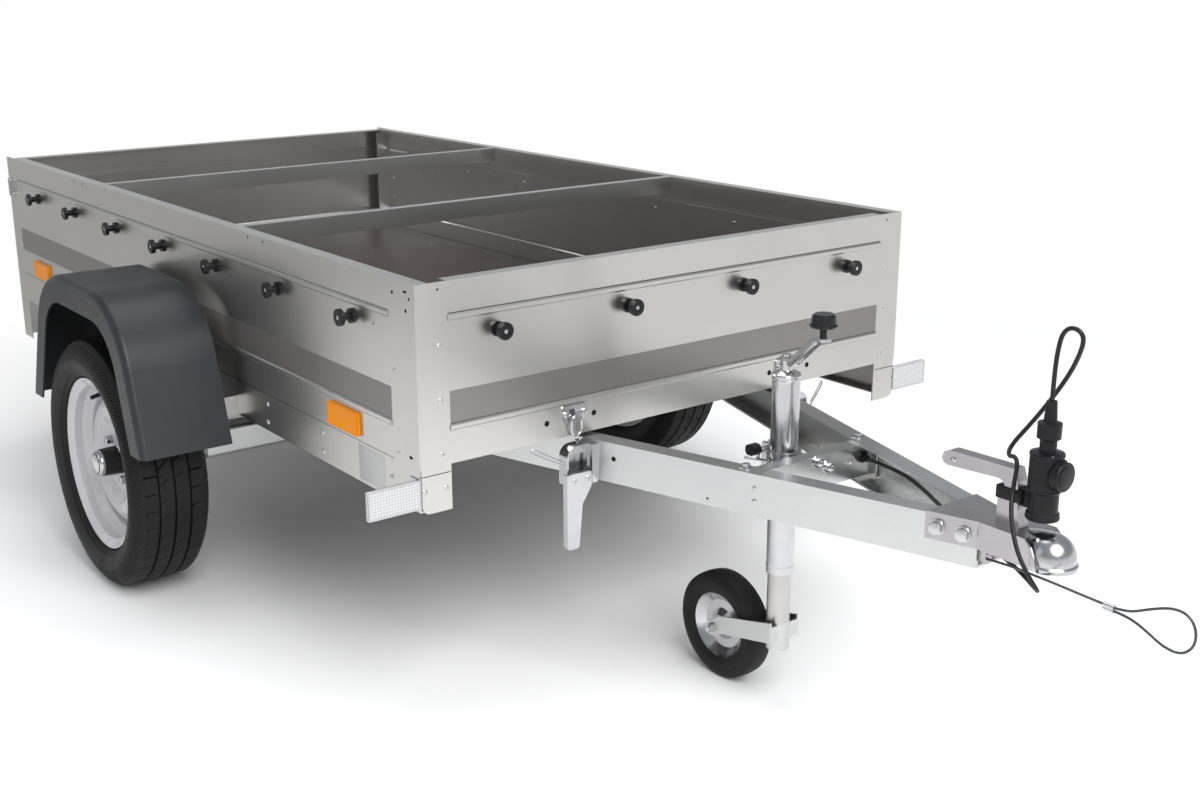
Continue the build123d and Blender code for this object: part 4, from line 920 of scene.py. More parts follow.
# ------------------------------------------------------------------------------------------ camera and light
@dataclass(frozen=True)
class Studio:
    """Camera, lamps, floor and plain background."""

    lens: float = 44.07
    shift: tuple[float, float] = (0.0366, -0.0175)
    spot: Point = (2.6013, -1.7245, 1.2740)
    right: Point = (0.59269, 0.80539, -0.00811)
    down: Point = (0.21346, -0.16678, -0.96262)
    forward: Point = (-0.77663, 0.56880, -0.27076)
    floor_size: float = 40.0
    floor_colour: Colour = (0.90, 0.90, 0.90)
    floor_roughness: float = 0.9
    floor_fade: tuple[float, float] = (1.5, 3.0)
    horizon: Colour = (1.0, 0.995, 0.985)
    ceiling: Colour = (0.38, 0.395, 0.42)
    ceiling_rise: tuple[float, float] = (0.02, 0.22)
    ambient: Colour = (0.97, 0.98, 1.0)
    ambient_level: float = 0.70
    rear_dim: tuple[float, float, float] = (-2.7, -1.6, 0.50)
    lamps: tuple[tuple[str, Point, Point, float, float], ...] = (
        ("key_lamp", (3.6, -0.8, 3.3), (0.4, 0.0, 0.3), 3.0, 190.0),
        ("fill_lamp", (-1.0, -4.2, 2.6), (0.0, 0.0, 0.4), 3.0, 10.0),
        ("top_lamp", (-0.4, 0.6, 4.2), (-0.2, 0.0, 0.4), 3.5, 60.0))

    def camera(self) -> None:
        """Places the camera."""
        data = bpy.data.cameras.new("view_camera")
        data.lens = self.lens
        data.sensor_width = 36.0
        data.shift_x, data.shift_y = self.shift
        data.clip_start, data.clip_end = 0.05, 60.0
        camera = bpy.data.objects.new("view_camera", data)
        bpy.context.scene.collection.objects.link(camera)
        columns = (Vector(self.right), -Vector(self.down), -Vector(self.forward), Vector(self.spot))
        camera.matrix_world = Matrix([[column[i] for column in columns] for i in range(3)] + [[0, 0, 0, 1]])
        bpy.context.scene.camera = camera

    @staticmethod
    def lamp(name: str, spot: Point, aim: Point, size: float, power: float) -> None:
        """Adds one soft area lamp.

        Args:
            name: Its name.
            spot: Where it stands.
            aim: The point that it shines at.
            size: Its diameter.
            power: Its power in watts.
        """
        data = bpy.data.lights.new(name, "AREA")
        data.shape = "DISK"
        data.size = size
        data.energy = power
        lamp = bpy.data.objects.new(name, data)
        bpy.context.scene.collection.objects.link(lamp)
        lamp.location = spot
        lamp.rotation_euler = (Vector(aim) - Vector(spot)).to_track_quat("-Z", "Y").to_euler()

    def world(self) -> None:
        """Sets a white background, with a dimmer ceiling that only mirrored and scattered rays meet."""
        world = bpy.data.worlds.new("plain_studio")
        bpy.context.scene.world = world
        world.use_nodes = True
        graph = Graph(world.node_tree)
        coords = graph.add("ShaderNodeTexCoord")
        parts = graph.add("ShaderNodeSeparateXYZ", coords.outputs["Generated"])
        height = graph.ramp(parts.outputs["Z"], *self.ceiling_rise)
        colour = graph.mix(height, self.horizon, self.ceiling)
        mirrored = graph.add("ShaderNodeBackground", colour, Strength=1.0)
        soft = graph.add("ShaderNodeBackground", Color=(*self.ambient, 1.0), Strength=self.ambient_level)
        plain = graph.add("ShaderNodeBackground", Color=FULL_WHITE, Strength=1.0)
        path = graph.add("ShaderNodeLightPath").outputs
        unseen = graph.blend(path["Is Glossy Ray"], soft.outputs[0], mirrored.outputs[0])
        direct = graph.higher(path["Is Camera Ray"], path["Is Transmission Ray"])
        graph.add("ShaderNodeOutputWorld", graph.blend(direct, unseen, plain.outputs[0]))

    def floor(self) -> None:
        """Lays a pale floor that keeps the shadow, fades into the white background and is open from below."""
        Bench.clear()
        bpy.ops.mesh.primitive_plane_add(size=self.floor_size, location=(0, 0, 0))
        floor = bpy.context.object
        floor.name = "studio_floor"
        material, graph, shader, coords = MaterialBase.start("studio_floor")
        shader.inputs["Base Color"].default_value = (*self.floor_colour, 1.0)
        shader.inputs["Roughness"].default_value = self.floor_roughness
        path = graph.add("ShaderNodeLightPath").outputs
        seen = graph.higher(graph.higher(path["Is Camera Ray"], path["Is Glossy Ray"]),
                            path["Is Transmission Ray"])
        away = graph.add("ShaderNodeVectorMath", coords, operation="LENGTH")
        share = graph.product(graph.ramp(away.outputs["Value"], *self.floor_fade), seen)
        parts = graph.add("ShaderNodeSeparateXYZ", coords)
        start, end, dim = self.rear_dim
        level = graph.higher(path["Is Camera Ray"], graph.ramp(parts.outputs["X"], start, end, dim, 1.0))
        plain = graph.add("ShaderNodeEmission", Color=FULL_WHITE)
        graph.link(level, plain.inputs["Strength"])
        top = graph.blend(share, shader.outputs["BSDF"], plain.outputs["Emission"])
        below = graph.add("ShaderNodeNewGeometry").outputs["Backfacing"]
        whole = graph.blend(below, top, graph.add("ShaderNodeBsdfTransparent").outputs["BSDF"])
        output = next(node for node in graph.tree.nodes if node.type == "OUTPUT_MATERIAL")
        graph.link(whole, output.inputs["Surface"])
        floor.data.materials.append(material)

    def build(self) -> None:
        """Builds camera, light and floor."""
        self.camera()
        self.world()
        for row in self.lamps:
            self.lamp(*row)
        self.floor()
        bpy.context.scene.view_settings.view_transform = "Standard"


# ------------------------------------------------------------------------------------------ cords
@dataclass
class Cords:
    """The lighting lead with its plug, and the safety cable with its loop."""

    book: FinishBook
    nodes: dict
    lead_radius: float = 0.00325
    cable_radius: float = 0.002
    lead_route: tuple[Point, ...] = (
        (339.0, 118.0, 338.0), (395.0, 108.0, 336.0), (455.0, 84.0, 330.0), (515.0, 54.0, 329.0),
        (572.0, 25.0, 333.0), (628.0, 6.0, 343.0), (682.0, 0.0, 358.0), (727.6, -3.0, 368.4),
        (761.9, -10.0, 380.2), (791.6, -24.0, 386.4), (804.7, -42.0, 376.9), (795.4, -54.0, 354.0),
        (774.2, -54.0, 324.6), (757.5, -47.0, 293.5), (742.3, -32.0, 269.7), (734.1, -19.0, 249.1),
        (735.2, -16.5, 224.9), (735.5, -15.5, 208.4), (724.3, -8.0, 203.9), (708.7, 2.0, 210.9),
        (699.0, 12.0, 207.1), (702.2, 19.0, 193.9), (717.9, 23.0, 170.8), (739.1, 25.0, 140.3),
        (763.1, 24.0, 104.7), (786.6, 18.0, 69.3), (802.8, 11.0, 38.9), (811.0, 6.0, 15.0),
        (803.5, 3.5, 3.5), (790.5, 1.0, 2.0), (781.0, -1.0, 12.0), (776.5, -0.8, 32.0),
        (774.0, -0.5, 56.0), (773.0, 0.0, 83.0), (773.0, 0.0, 111.0))
    cable_route: tuple[Point, ...] = (
        (703.0, -21.0, 368.0), (748.4, -29.0, 361.1), (792.8, -41.0, 356.0), (835.2, -45.0, 354.8),
        (886.0, -45.0, 357.0), (944.0, -43.3, 359.2), (978.0, -42.0, 341.4), (1008.9, -41.0, 329.1),
        (1031.1, -40.0, 332.6), (1042.3, -39.0, 351.1), (1040.9, -39.0, 374.2), (1025.2, -40.0, 390.0),
        (999.9, -41.0, 388.1), (974.5, -42.0, 374.5), (948.8, -43.2, 364.0), (926.8, -43.8, 363.2))

    def lead(self) -> None:
        """Builds the lighting lead."""
        points = [place(*point) for point in self.lead_route]
        lead = spline_curve("lighting_lead", points, self.lead_radius)
        self.book.fit(lead, FinishName.LEAD, "drawbar", "cable_rubber", "lead")

    def cable(self) -> None:
        """Builds the safety cable, a coated wire rope."""
        points = [place(*point) for point in self.cable_route]
        cable = spline_curve("safety_cable_loop", points, self.cable_radius)
        self.book.fit(cable, FinishName.WIRE, "drawbar", "coated_wire", "safety_cable")

    def build(self) -> None:
        """Builds both cords."""
        self.lead()
        self.cable()


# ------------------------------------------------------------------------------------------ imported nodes
NODE_FINISHES: dict[FinishName, tuple[str, ...]] = {
    FinishName.SHEET: ("side_wall_right", "side_wall_left", "front_panel", "front_posts", "rear_posts",
                       "side_rails", "tailgate"),
    FinishName.FRAME: ("floor_beams", "cross_bars", "axle_tube", "swing_arms", "drawbar_arms", "cross_member",
                       "lamp_bar", "reflector_brackets", "jockey_fork"),
    FinishName.PLATED: ("ball_cup", "jockey_tube", "jockey_crank", "jockey_clamp", "clamp_lever", "jockey_rim",
                        "toggle_latches", "latch_keepers", "tailgate_hooks", "cable_ferrule"),
    FinishName.SATIN_ZINC: ("jockey_leg",),
    FinishName.COUPLING: ("coupling", "coupling_lever"),
    FinishName.FLOOR: ("floor_panel",),
    FinishName.BLACK: ("rope_knobs", "jockey_knob", "clamp_grip", "lead_gland"),
    FinishName.GLOSS_BLACK: ("plug", "plug_holder"),
    FinishName.GUARD: ("mudguards",),
    FinishName.TYRE: ("tyre_right", "tyre_left", "jockey_tyre"),
    FinishName.RIM: ("rim_right", "rim_left"),
    FinishName.HUB: ("hub_right", "hub_left"),
    FinishName.AMBER: ("side_reflectors",),
    FinishName.WHITE: ("front_reflectors",),
    FinishName.RED: ("tail_lamps",),
    FinishName.LEAD: ("lead",),
    FinishName.WIRE: ("safety_cable",),
}


def dress_nodes(book: FinishBook, nodes: dict) -> None:
    """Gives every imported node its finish.

    Args:
        book: The finishes.
        nodes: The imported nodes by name.
    """
    for finish, names in NODE_FINISHES.items():
        for name in names:
            book.dress(nodes[name], finish)


# ------------------------------------------------------------------------------------------ fasteners
# What each finish is called in the names of the gathered pieces, and the name of its material slot, which is
# passed on but not used.
GATHERED: dict[FinishName, tuple[str, str]] = {
    FinishName.PLATED: ("fasteners", "zinc"),
    # Painted shade of holes, gathered with the dark joints.
    FinishName.DARK_METAL: ("hole_shade_and_joints", "galvanised"),
    FinishName.SHEET: ("rivets", "galvanised"),
    FinishName.BLACK: ("knob_rims", "black_plastic"),
    # Painted shade along the beads.
    FinishName.SEAM: ("bead_painted_shade", "galvanised"),
}


@dataclass
class Hardware:
    """Rivets, bolts, washers, painted shade of punched holes and dark joints, each gathered by the body that
    carries it.
    """

    book: FinishBook
    sets: dict[tuple[str, FinishName], list[Piece]] = field(default_factory=dict)

    def keep(self, body: str, finish: FinishName, piece: Piece) -> None:
        """Files a piece under its body and finish."""
        self.sets.setdefault((body, finish), []).append(piece)

    def both(self, body: str, finish: FinishName, piece: Piece) -> None:
        """Files a piece and its mirror image on the other side."""
        self.keep(body, finish, piece)
        self.keep(body, finish, Bench.mirrored(piece))

    def rivets(self, body: str, finish: FinishName, spots: Iterable[Point], out: Point, *size: float) -> None:
        """Files a rivet head at each place, and its mirror image.

        Args:
            body: The body that carries them.
            finish: Their finish.
            spots: Places ahead, to the left and below the top edge.
            out: Direction away from the surface.
            size: Radius and height of a head, where they aren't the usual ones.
        """
        for spot in spots:
            self.both(body, finish, self.rivet(place(*spot), out, *size))

    def holes(self, body: str, rows: Iterable[tuple[float, float, float, float]], out: Point) -> None:
        """Files a disc of painted shade in the mouth of a hole at each place, and its mirror image.

        Args:
            body: The body that carries them.
            rows: Places ahead, to the left and below the top edge, each with the hole's radius in millimetres.
            out: Direction away from the surface.
        """
        for *spot, radius in rows:
            self.both(body, FinishName.DARK_METAL, self.hole(place(*spot), out, radius * MM))

    @staticmethod
    def rivet(spot: Point, out: Point, radius: float = 0.0038, height: float = 0.0016) -> Piece:
        """Makes a low domed rivet head that stands on a surface.

        Args:
            spot: Point on the surface.
            out: Direction away from the surface.
            radius: Radius of the head.
            height: Height of the head.

        Returns:
            The rivet head.
        """
        rows = ((-0.0006, 0.0), (-0.0006, radius), (height * 0.25, radius), (height * 0.75, radius * 0.72),
                (height, radius * 0.3), (height, 0.0))
        return Bench.turned("rivet_head", rows, spot, out, steps=14)

    @staticmethod
    def hole(spot: Point, out: Point, radius: float, width: float = 0.0) -> Piece:
        """Makes a near-black disc that paints the shade in the mouth of a punched hole.

        Args:
            spot: Middle of the mouth.
            out: Direction away from the surface.
            radius: Its radius.
            width: Width to which it is stretched into an oval, or 0 for a round one.

        Returns:
            The disc of painted shade.
        """
        rows = ((-0.0003, 0.0), (-0.0003, radius), (0.00012, radius), (0.00012, 0.0))
        piece = Bench.turned("painted_hole_shade", rows, spot, out, steps=18)
        if width:
            Bench.edit(piece, every=True)
            wider = width / (2 * radius)
            stretch = (wider, 1.0, 1.0) if abs(out[1]) > 0.5 else (1.0, wider, 1.0)
            bpy.ops.transform.resize(value=stretch, center_override=spot)
            Bench.clear()
        return piece

    @staticmethod
    def bolt(spot: Point, out: Point, across: float = 0.013, height: float = 0.0055, washer: float = 0.0,
             thread: float = 0.0) -> Piece:
        """Makes a hexagon head or nut, with an optional washer below and thread end above.

        Args:
            spot: Point on the surface that it sits on.
            out: Direction away from the surface.
            across: Width across flats.
            height: Height of the head.
            washer: Radius of the washer, or 0 for none.
            thread: How far the thread stands out of a nut.

        Returns:
            The fastener.
        """
        way = Vector(out).normalized()
        base = Vector(spot)
        parts = []
        if washer:
            rows = ((-0.0005, 0.0), (-0.0005, washer), (0.0014, washer), (WASHER_THICK, washer - 0.0005),
                    (WASHER_THICK, 0.0))
            parts.append(Bench.turned("washer", rows, base, way, steps=28))
            base = base + way * WASHER_THICK
        corner = across / math.sqrt(3)
        parts.append(Bench.bar("hex_head", base - way * 0.0004, base + way * height, corner, 6, 0.0007))
        if thread:
            end = base + way * (height + thread)
            parts.append(Bench.bar("thread_end", base, end, across * 0.3, 14, 0.0006))
        return Bench.join("fastener", parts)

    def finish(self) -> None:
        """Joins the gathered pieces into one object for each body and finish."""
        for (body, finish), pieces in self.sets.items():
            word, slot = GATHERED[finish]
            whole = Bench.join(f"{body}_{word}", pieces)
            self.book.fit(whole, finish, body, slot)
            LOG.info("%s: %d pieces", whole.name, len(pieces))


# ------------------------------------------------------------------------------------------ load bed
@dataclass
class LoadBed:
    """Stripes, rivets, painted shade in holes and along the beads, seams and screws of the tipping bed.

    Its places and sizes are in millimetres. Heads, ovals and the profile of the knobs' rim are in metres.
    """

    book: FinishBook
    hardware: Hardware
    stripe_drops: tuple[float, float] = (183.0, 238.9)
    stripe_half: float = 509.0
    side_stripe: tuple[float, float] = (84.0, 2046.0)
    film: float = 0.25
    plate_ends: tuple[float, float] = (117.0, 205.0)
    plate_drops: tuple[float, float] = (313.5, 376.5)
    plate_thick: float = 0.5
    bead_drops: tuple[float, float] = (60.0, 245.0)
    bead_end: float = 2038.0
    bead_root: tuple[float, float] = (7.4, 5.6)
    post_rivets: tuple[Point, ...] = ((0.0, -527.0, 104.0), (0.0, -527.0, 196.0), (0.0, -527.0, 288.0))
    foot_rivets: tuple[Point, ...] = ((0.0, -562.0, 346.0), (0.0, -521.0, 347.0))
    foot_head: tuple[float, float] = (0.0045, 0.002)
    keeper_bolts: tuple[Point, ...] = ((3.0, -277.0, 267.0), (3.0, -237.0, 267.0))
    keeper_head: tuple[float, float] = (0.010, 0.0040)
    post_joint: tuple[Point, Point] = ((-0.2, -569.5, 321.0), (0.12, -512.0, 319.6))
    panel_holes: tuple[tuple[float, float, float, float], ...] = (
        (0.0, -315.0, 276.0, 5.2), (0.0, -213.0, 275.0, 5.2), (0.0, -527.0, 12.0, 2.0))
    side_rivets: tuple[tuple[float, float], ...] = (
        (69.0, 152.0), (66.0, 294.0), (2100.0, 327.0), (2100.0, 370.0), (2100.0, 150.0), (2100.0, 222.0))
    side_holes: tuple[tuple[float, float, float], ...] = (
        (17.0, 25.0, 2.6), (28.0, 46.0, 3.2), (69.0, 22.0, 3.2), (134.0, 86.0, 2.0), (543.0, 8.0, 2.4),
        (607.0, 8.0, 2.4), (1518.0, 8.0, 2.4), (1578.0, 8.0, 2.4))
    rail_bolts: tuple[tuple[float, float], ...] = (
        (564.0, 327.0), (567.0, 364.0), (338.0, 326.0), (338.0, 363.0), (92.0, 343.0), (1280.0, 327.0),
        (1280.0, 364.0), (1690.0, 345.0))
    rail_head: tuple[float, float] = (0.005, 0.0028)
    rail_seam: tuple[Point, Point] = ((-2050.0, -570.12, 308.0), (-84.0, -569.8, 307.0))
    ovals: tuple[tuple[Point, float, float], ...] = (
        ((-27.0, WALL, 292.0), 0.003, 0.011), ((-29.0, WALL, 15.0), 0.0022, 0.012))
    bar_tabs: tuple[float, float] = (681.0, 1421.0)
    tab_half: float = 1.4
    inner_face: float = -567.5
    corner_rivets: tuple[Point, ...] = (
        (-2019.0, -567.5, 93.0), (-2019.0, -567.5, 150.0), (-2019.0, -567.5, 207.0), (-2019.0, -567.5, 262.0))
    inner_head: tuple[float, float] = (0.0046, 0.0022)
    knob_count: int = 7
    knob_first: float = 207.0
    knob_last: float = 1872.0
    knob_drop: float = 86.0
    knob_face: float = -598.0
    front_knobs: tuple[Point, Point] = ((28.0, -415.0, 92.0), (28.0, -138.0, 92.0))
    knob_rim: Rows = ((0.0, 0.0), (0.0, 0.0138), (0.0012, 0.0124), (0.0012, 0.0062), (0.0003, 0.0058),
                      (0.0003, 0.0))
    knob_head: tuple[float, float] = (0.0036, 0.0008)
    knob_sink: float = 0.0002
    screw_rows: tuple[float, ...] = (60.0, 490.0, 745.0, 1000.0, 1320.0, 1670.0, 2005.0)
    screw_sides: tuple[float, float] = (-480.0, -160.0)
    screw_head: tuple[float, float] = (0.0062, 0.0009)
    floor_drop: float = 297.0

    def side_knobs(self) -> list[float]:
        """Lists how far behind the panel the knobs of a side wall stand."""
        step = (self.knob_last - self.knob_first) / (self.knob_count - 1)
        return [self.knob_first + step * index for index in range(self.knob_count)]

    @staticmethod
    def wall_sheet(name: str, ends: tuple[float, float], drops: tuple[float, float], thick: float,
                   bevel: float = 0.0) -> Piece:
        """Lays a thin sheet on the right wall.

        Args:
            name: Its name.
            ends: How far behind the panel it starts and ends.
            drops: Drops of its upper and lower edges.
            thick: Its thickness.
            bevel: Rounding of its edges, in metres.

        Returns:
            The sheet.
        """
        (near, _, foot), (far, _, top) = place(-ends[1], 0.0, drops[1]), place(-ends[0], 0.0, drops[0])
        corners = [(x, -HALF_WIDTH, z) for x, z in ((near, foot), (far, foot), (far, top), (near, top))]
        return Bench.outline(name, corners, (0.0, -thick * MM, 0.0), bevel)

    def stripes(self) -> None:
        """Lays the bare grey films on the front panel and both side walls."""
        (_, right, foot), (_, left, top) = (place(0.0, -self.stripe_half, self.stripe_drops[1]),
                                            place(0.0, self.stripe_half, self.stripe_drops[0]))
        corners = [(FRONT_X, y, z) for y, z in ((right, foot), (left, foot), (left, top), (right, top))]
        front = Bench.outline("front_stripe", corners, (self.film * MM, 0.0, 0.0))
        side = self.wall_sheet("right_stripe", self.side_stripe, self.stripe_drops, self.film)
        for word, piece in (("front", front), *Bench.pair(side)):
            piece.name = f"{word}_stripe"
            self.book.fit(piece, FinishName.STRIPE, "bed", "galvanised")

    def blank_plate(self) -> None:
        """Fixes a bare plate on the right rail."""
        plate = self.wall_sheet("blank_plate", self.plate_ends, self.plate_drops, self.plate_thick, 0.00015)
        self.book.fit(plate, FinishName.PLATE, "bed", "galvanised")

    def front_marks(self) -> None:
        """Adds rivets, the painted shade of holes, and bolts of the front panel and posts."""
        self.hardware.rivets("bed", FinishName.SHEET, self.post_rivets, AHEAD)
        self.hardware.rivets("bed", FinishName.SHEET, self.foot_rivets, AHEAD, *self.foot_head)
        self.hardware.holes("bed", self.panel_holes, AHEAD)
        for spot in self.keeper_bolts:
            bolt = Hardware.bolt(place(*spot), AHEAD, *self.keeper_head)
            self.hardware.both("bed", FinishName.PLATED, bolt)
        low, high = self.post_joint
        self.hardware.both("bed", FinishName.DARK_METAL, Bench.box("post_joint", place(*low), place(*high)))

    def side_marks(self) -> None:
        """Adds rivets, the painted shade of holes and slots, bolts, tabs and seams of the side walls and rails.
        """
        def on_wall(rows: Iterable[tuple[float, ...]]) -> list[tuple[float, ...]]:
            """Puts rows that start with a distance behind the panel on the right wall's face."""
            return [(-behind, WALL, *rest) for behind, *rest in rows]

        self.hardware.rivets("bed", FinishName.SHEET, on_wall(self.side_rivets), RIGHT)
        self.hardware.holes("bed", on_wall(self.side_holes), RIGHT)
        # Painted shade in the oval slots.
        for spot, radius, width in self.ovals:
            self.hardware.both("bed", FinishName.DARK_METAL, Hardware.hole(place(*spot), RIGHT, radius, width))
        self.hardware.rivets("bed", FinishName.PLATED, on_wall(self.rail_bolts), RIGHT, *self.rail_head)
        for behind in self.bar_tabs:
            tab = Bench.box("bar_tab", place(-behind - self.tab_half, -570.35, 19.0),
                            place(-behind + self.tab_half, -569.8, 1.0))
            self.hardware.both("bed", FinishName.PLATED, tab)
        low, high = self.rail_seam
        self.hardware.both("bed", FinishName.DARK_METAL, Bench.box("rail_seam", place(*low), place(*high)))

    def bead_shadows(self) -> None:
        """Lays a thin dark strip of painted shade along the upper root of every pressed bead, where the bead's
        step lies in shade.
        """
        half, start = self.stripe_half, -self.side_stripe[0]
        for drop in self.bead_drops:
            top, foot = (drop - above for above in self.bead_root)
            front = Bench.box("front_bead_shade", place(-0.3, -half, foot), place(0.5, half, top))
            self.hardware.keep("bed", FinishName.SEAM, front)
            side = Bench.box("side_bead_shade", place(-self.bead_end, -570.3, foot - 0.5),
                             place(start, -569.7, top + 0.5))
            self.hardware.both("bed", FinishName.SEAM, side)

    def floor_screws(self) -> None:
        """Sinks bright screws in the floor along the cross-members and the edges."""
        spots = [(-behind, y, self.floor_drop) for behind in self.screw_rows for y in self.screw_sides]
        self.hardware.rivets("bed", FinishName.PLATED, spots, UP, *self.screw_head)

    def knob_screws(self) -> None:
        """Puts a rim and a screw in the socket of every rope knob."""
        knobs = [(place(-behind, self.knob_face, self.knob_drop), RIGHT) for behind in self.side_knobs()]
        knobs += [(place(*spot), AHEAD) for spot in self.front_knobs]
        for spot, out in knobs:
            self.hardware.both("bed", FinishName.BLACK, Bench.turned("knob_rim", self.knob_rim, spot, out, 28))
            screw = Hardware.rivet(Vector(spot) + Vector(out) * self.knob_sink, out, *self.knob_head)
            self.hardware.both("bed", FinishName.PLATED, screw)

    def inner_marks(self) -> None:
        """Adds the ends of the knobs' screws and the corner rivets inside the walls."""
        ends = [(-behind, self.inner_face, self.knob_drop) for behind in self.side_knobs()]
        self.hardware.rivets("bed", FinishName.PLATED, (*ends, *self.corner_rivets), (0.0, 1.0, 0.0),
                             *self.inner_head)
        ends = [(WALL - self.inner_face, y, drop) for _, y, drop in self.front_knobs]
        self.hardware.rivets("bed", FinishName.PLATED, ends, (-1.0, 0.0, 0.0), *self.inner_head)

    def build(self) -> None:
        """Builds all marks of the bed."""
        self.inner_marks()
        self.stripes()
        self.front_marks()
        self.side_marks()
        self.bead_shadows()
        self.blank_plate()
        self.floor_screws()
        self.knob_screws()


# ------------------------------------------------------------------------------------------ wheels
@dataclass
class RunningGear:
    """Road tyres with a cut tread, wheel bolts, valves and hub caps."""

    book: FinishBook
    centre: Point = (-0.356, -0.702, 0.266)
    radius: float = 0.266
    crown: float = 0.002
    steps: int = 528
    pitches: int = 44
    lean: float = 0.112
    lean_half: float = 0.033
    tread_half: float = 0.0614
    tread_edge: float = 0.2550
    groove_places: tuple[float, ...] = (0.033, 0.0, -0.033)
    groove_half: float = 0.0024
    groove_depth: float = 0.006
    groove_foot: float = 0.7
    side_rows: Rows = (
        (0.0500, 0.1706), (0.0570, 0.1780), (0.0590, 0.1860), (0.0655, 0.1875), (0.0705, 0.1925),
        (0.0722, 0.1965), (0.0745, 0.1975), (0.0785, 0.2080), (0.0812, 0.2180), (0.0826, 0.2270),
        (0.0822, 0.2350), (0.0800, 0.2430), (0.0790, 0.2440), (0.0772, 0.2475), (0.0735, 0.2525),
        (0.0690, 0.2580))
    inner_rows: Rows = ((-0.046, 0.1710), (-0.056, 0.190), (-0.074, 0.222), (-0.064, 0.248), (0.0, 0.256),
                        (0.064, 0.248), (0.074, 0.222), (0.056, 0.190), (0.046, 0.1710))
    sipe_ribs: tuple[tuple[float, float, int], ...] = (
        (0.0614, 0.0356, 2), (0.0215, 0.0026, 6), (-0.0118, -0.0304, 0), (-0.0356, -0.0614, 9))
    sipe_low: float = 0.2632
    sipe_depth: float = 0.0065
    rib_low: float = 0.2270
    rib_high: float = 0.2560
    rib_out: float = 0.0690
    rib_every: int = 3
    rib_depth: float = 0.0016
    sharp: float = 32.0
    bolt_count: int = 4
    bolt_circle: float = 0.050
    bolt_head: tuple[float, float, float] = (0.017, 0.0125, 0.0105)
    disc_face: float = 0.016
    nose_end: float = 0.056
    cap_rows: Rows = ((-0.001, 0.0), (-0.001, 0.0274), (0.0064, 0.0274), (0.0100, 0.0248), (0.0136, 0.0175),
                      (0.0152, 0.0085), (0.0156, 0.0))
    valve_angle: float = 105.0
    valve_circle: float = 0.147
    valve_root: float = 0.018

    def tread_rows(self) -> list[tuple[float, float]]:
        """Lists the tread's profile from one shoulder to the other, with its grooves.

        Returns:
            Profile corners as (along the axle, radius).
        """
        rows = []
        edges = [self.tread_half]
        for middle in self.groove_places:
            edges += [middle + self.groove_half, middle - self.groove_half]
        edges.append(-self.tread_half)
        for rib in range(len(edges) // 2):
            start, end = edges[2 * rib], edges[2 * rib + 1]
            for part in range(4):
                along = start + (end - start) * part / 3
                rows.append((along, self.radius - self.crown * (along / self.tread_half) ** 2))
            if rib < len(self.groove_places):
                middle, foot = self.groove_places[rib], self.radius - self.groove_depth
                half = self.groove_half * self.groove_foot
                rows += [(middle + half, foot), (middle - half, foot)]
        return rows

    def outer_rows(self) -> list[tuple[float, float]]:
        """Lists the tyre's outer section from bead to bead."""
        far = [(-along, radius) for along, radius in reversed(self.side_rows)]
        return [*self.side_rows, *self.tread_rows(), *far]

    def turn_at(self, along: float, radius: float) -> float:
        """Finds how far the pattern is turned round the axle at a place of the tyre's outside.

        Args:
            along: Distance along the axle from the middle of the tread.
            radius: Distance from the axle.

        Returns:
            The turn in radians.
        """
        if radius > self.tread_edge:
            return self.lean * max(-1.0, min(1.0, along / self.lean_half))
        share = max(0.0, min(1.0, (radius - self.rib_low) / (self.rib_high - self.rib_low)))
        return math.copysign(self.lean * share, along)

    def from_axle(self, spot: Vector) -> tuple[float, float, float]:
        """Gives a point's distance from the axle, its distance along it and its angle round it."""
        x, y, z = Vector(self.centre)
        return math.hypot(spot.x - x, spot.z - z), spot.y - y, math.atan2(spot.z - z, spot.x - x)

    def column(self, spot: Vector) -> int:
        """Numbers the step round the tyre that a face belongs to, with the turn of the pattern taken out.

        Args:
            spot: The face's middle.

        Returns:
            The number of the step.
        """
        radius, along, angle = self.from_axle(spot)
        angle -= self.turn_at(along, radius)
        return int(math.floor((angle % math.tau) / (math.tau / self.steps) + 0.02)) % self.steps

    def tyre(self) -> Piece:
        """Turns the tyre, slants its pattern and sinks the sipes and the fine ribs of the side face.

        Returns:
            The right tyre.
        """
        x, y, z = Vector(self.centre)
        outside = self.outer_rows()
        tyre = Bench.turned("tyre_with_tread", [*outside, *self.inner_rows], self.centre, (0.0, 1.0, 0.0),
                            self.steps, self.sharp)
        for along, radius in outside:
            turn = self.turn_at(along, radius)
            if abs(turn) < 1e-6:
                continue
            Bench.edit(tyre)
            bpy.ops.object.mode_set(mode="OBJECT")
            for vertex in tyre.data.vertices:
                if abs(vertex.co.y - y - along) < 1e-5:
                    out = math.hypot(vertex.co.x - x, vertex.co.z - z)
                    vertex.select = abs(out - radius) < 1e-4
            bpy.ops.object.mode_set(mode="EDIT")
            bpy.ops.transform.rotate(value=turn, orient_axis="Y", center_override=self.centre)
        self.sink(tyre, "sipe", self.in_sipe, 0.0004, self.sipe_depth)
        self.sink(tyre, "side rib", self.in_side_rib, 0.0001, self.rib_depth)
        return tyre

    @staticmethod
    def sink(tyre: Piece, word: str, test: Callable[[Vector, Vector], bool], inset: float,
             depth: float) -> None:
        """Sinks the faces of the tyre that pass a test.

        Args:
            tyre: The tyre.
            word: What the faces are, for the log.
            test: Called with a face's middle and normal.
            inset: How much narrower the foot is on each side.
            depth: How deep the faces sink.
        """
        LOG.info("%s faces: %d", word, Bench.select_faces(tyre, test))
        bpy.ops.mesh.inset(thickness=inset, depth=-depth)
        Bench.clear()

    def in_sipe(self, spot: Vector, _: Vector) -> bool:
        """Tells whether a face is in the one sipe that each rib has in every pitch.

        Args:
            spot: The face's middle.
            _: Its normal; not used.

        Returns:
            Whether it is.
        """
        radius, along, _ = self.from_axle(spot)
        if radius < self.sipe_low:
            return False
        index = self.column(spot) % (self.steps // self.pitches)
        return any(low < along < high and index == start for high, low, start in self.sipe_ribs)

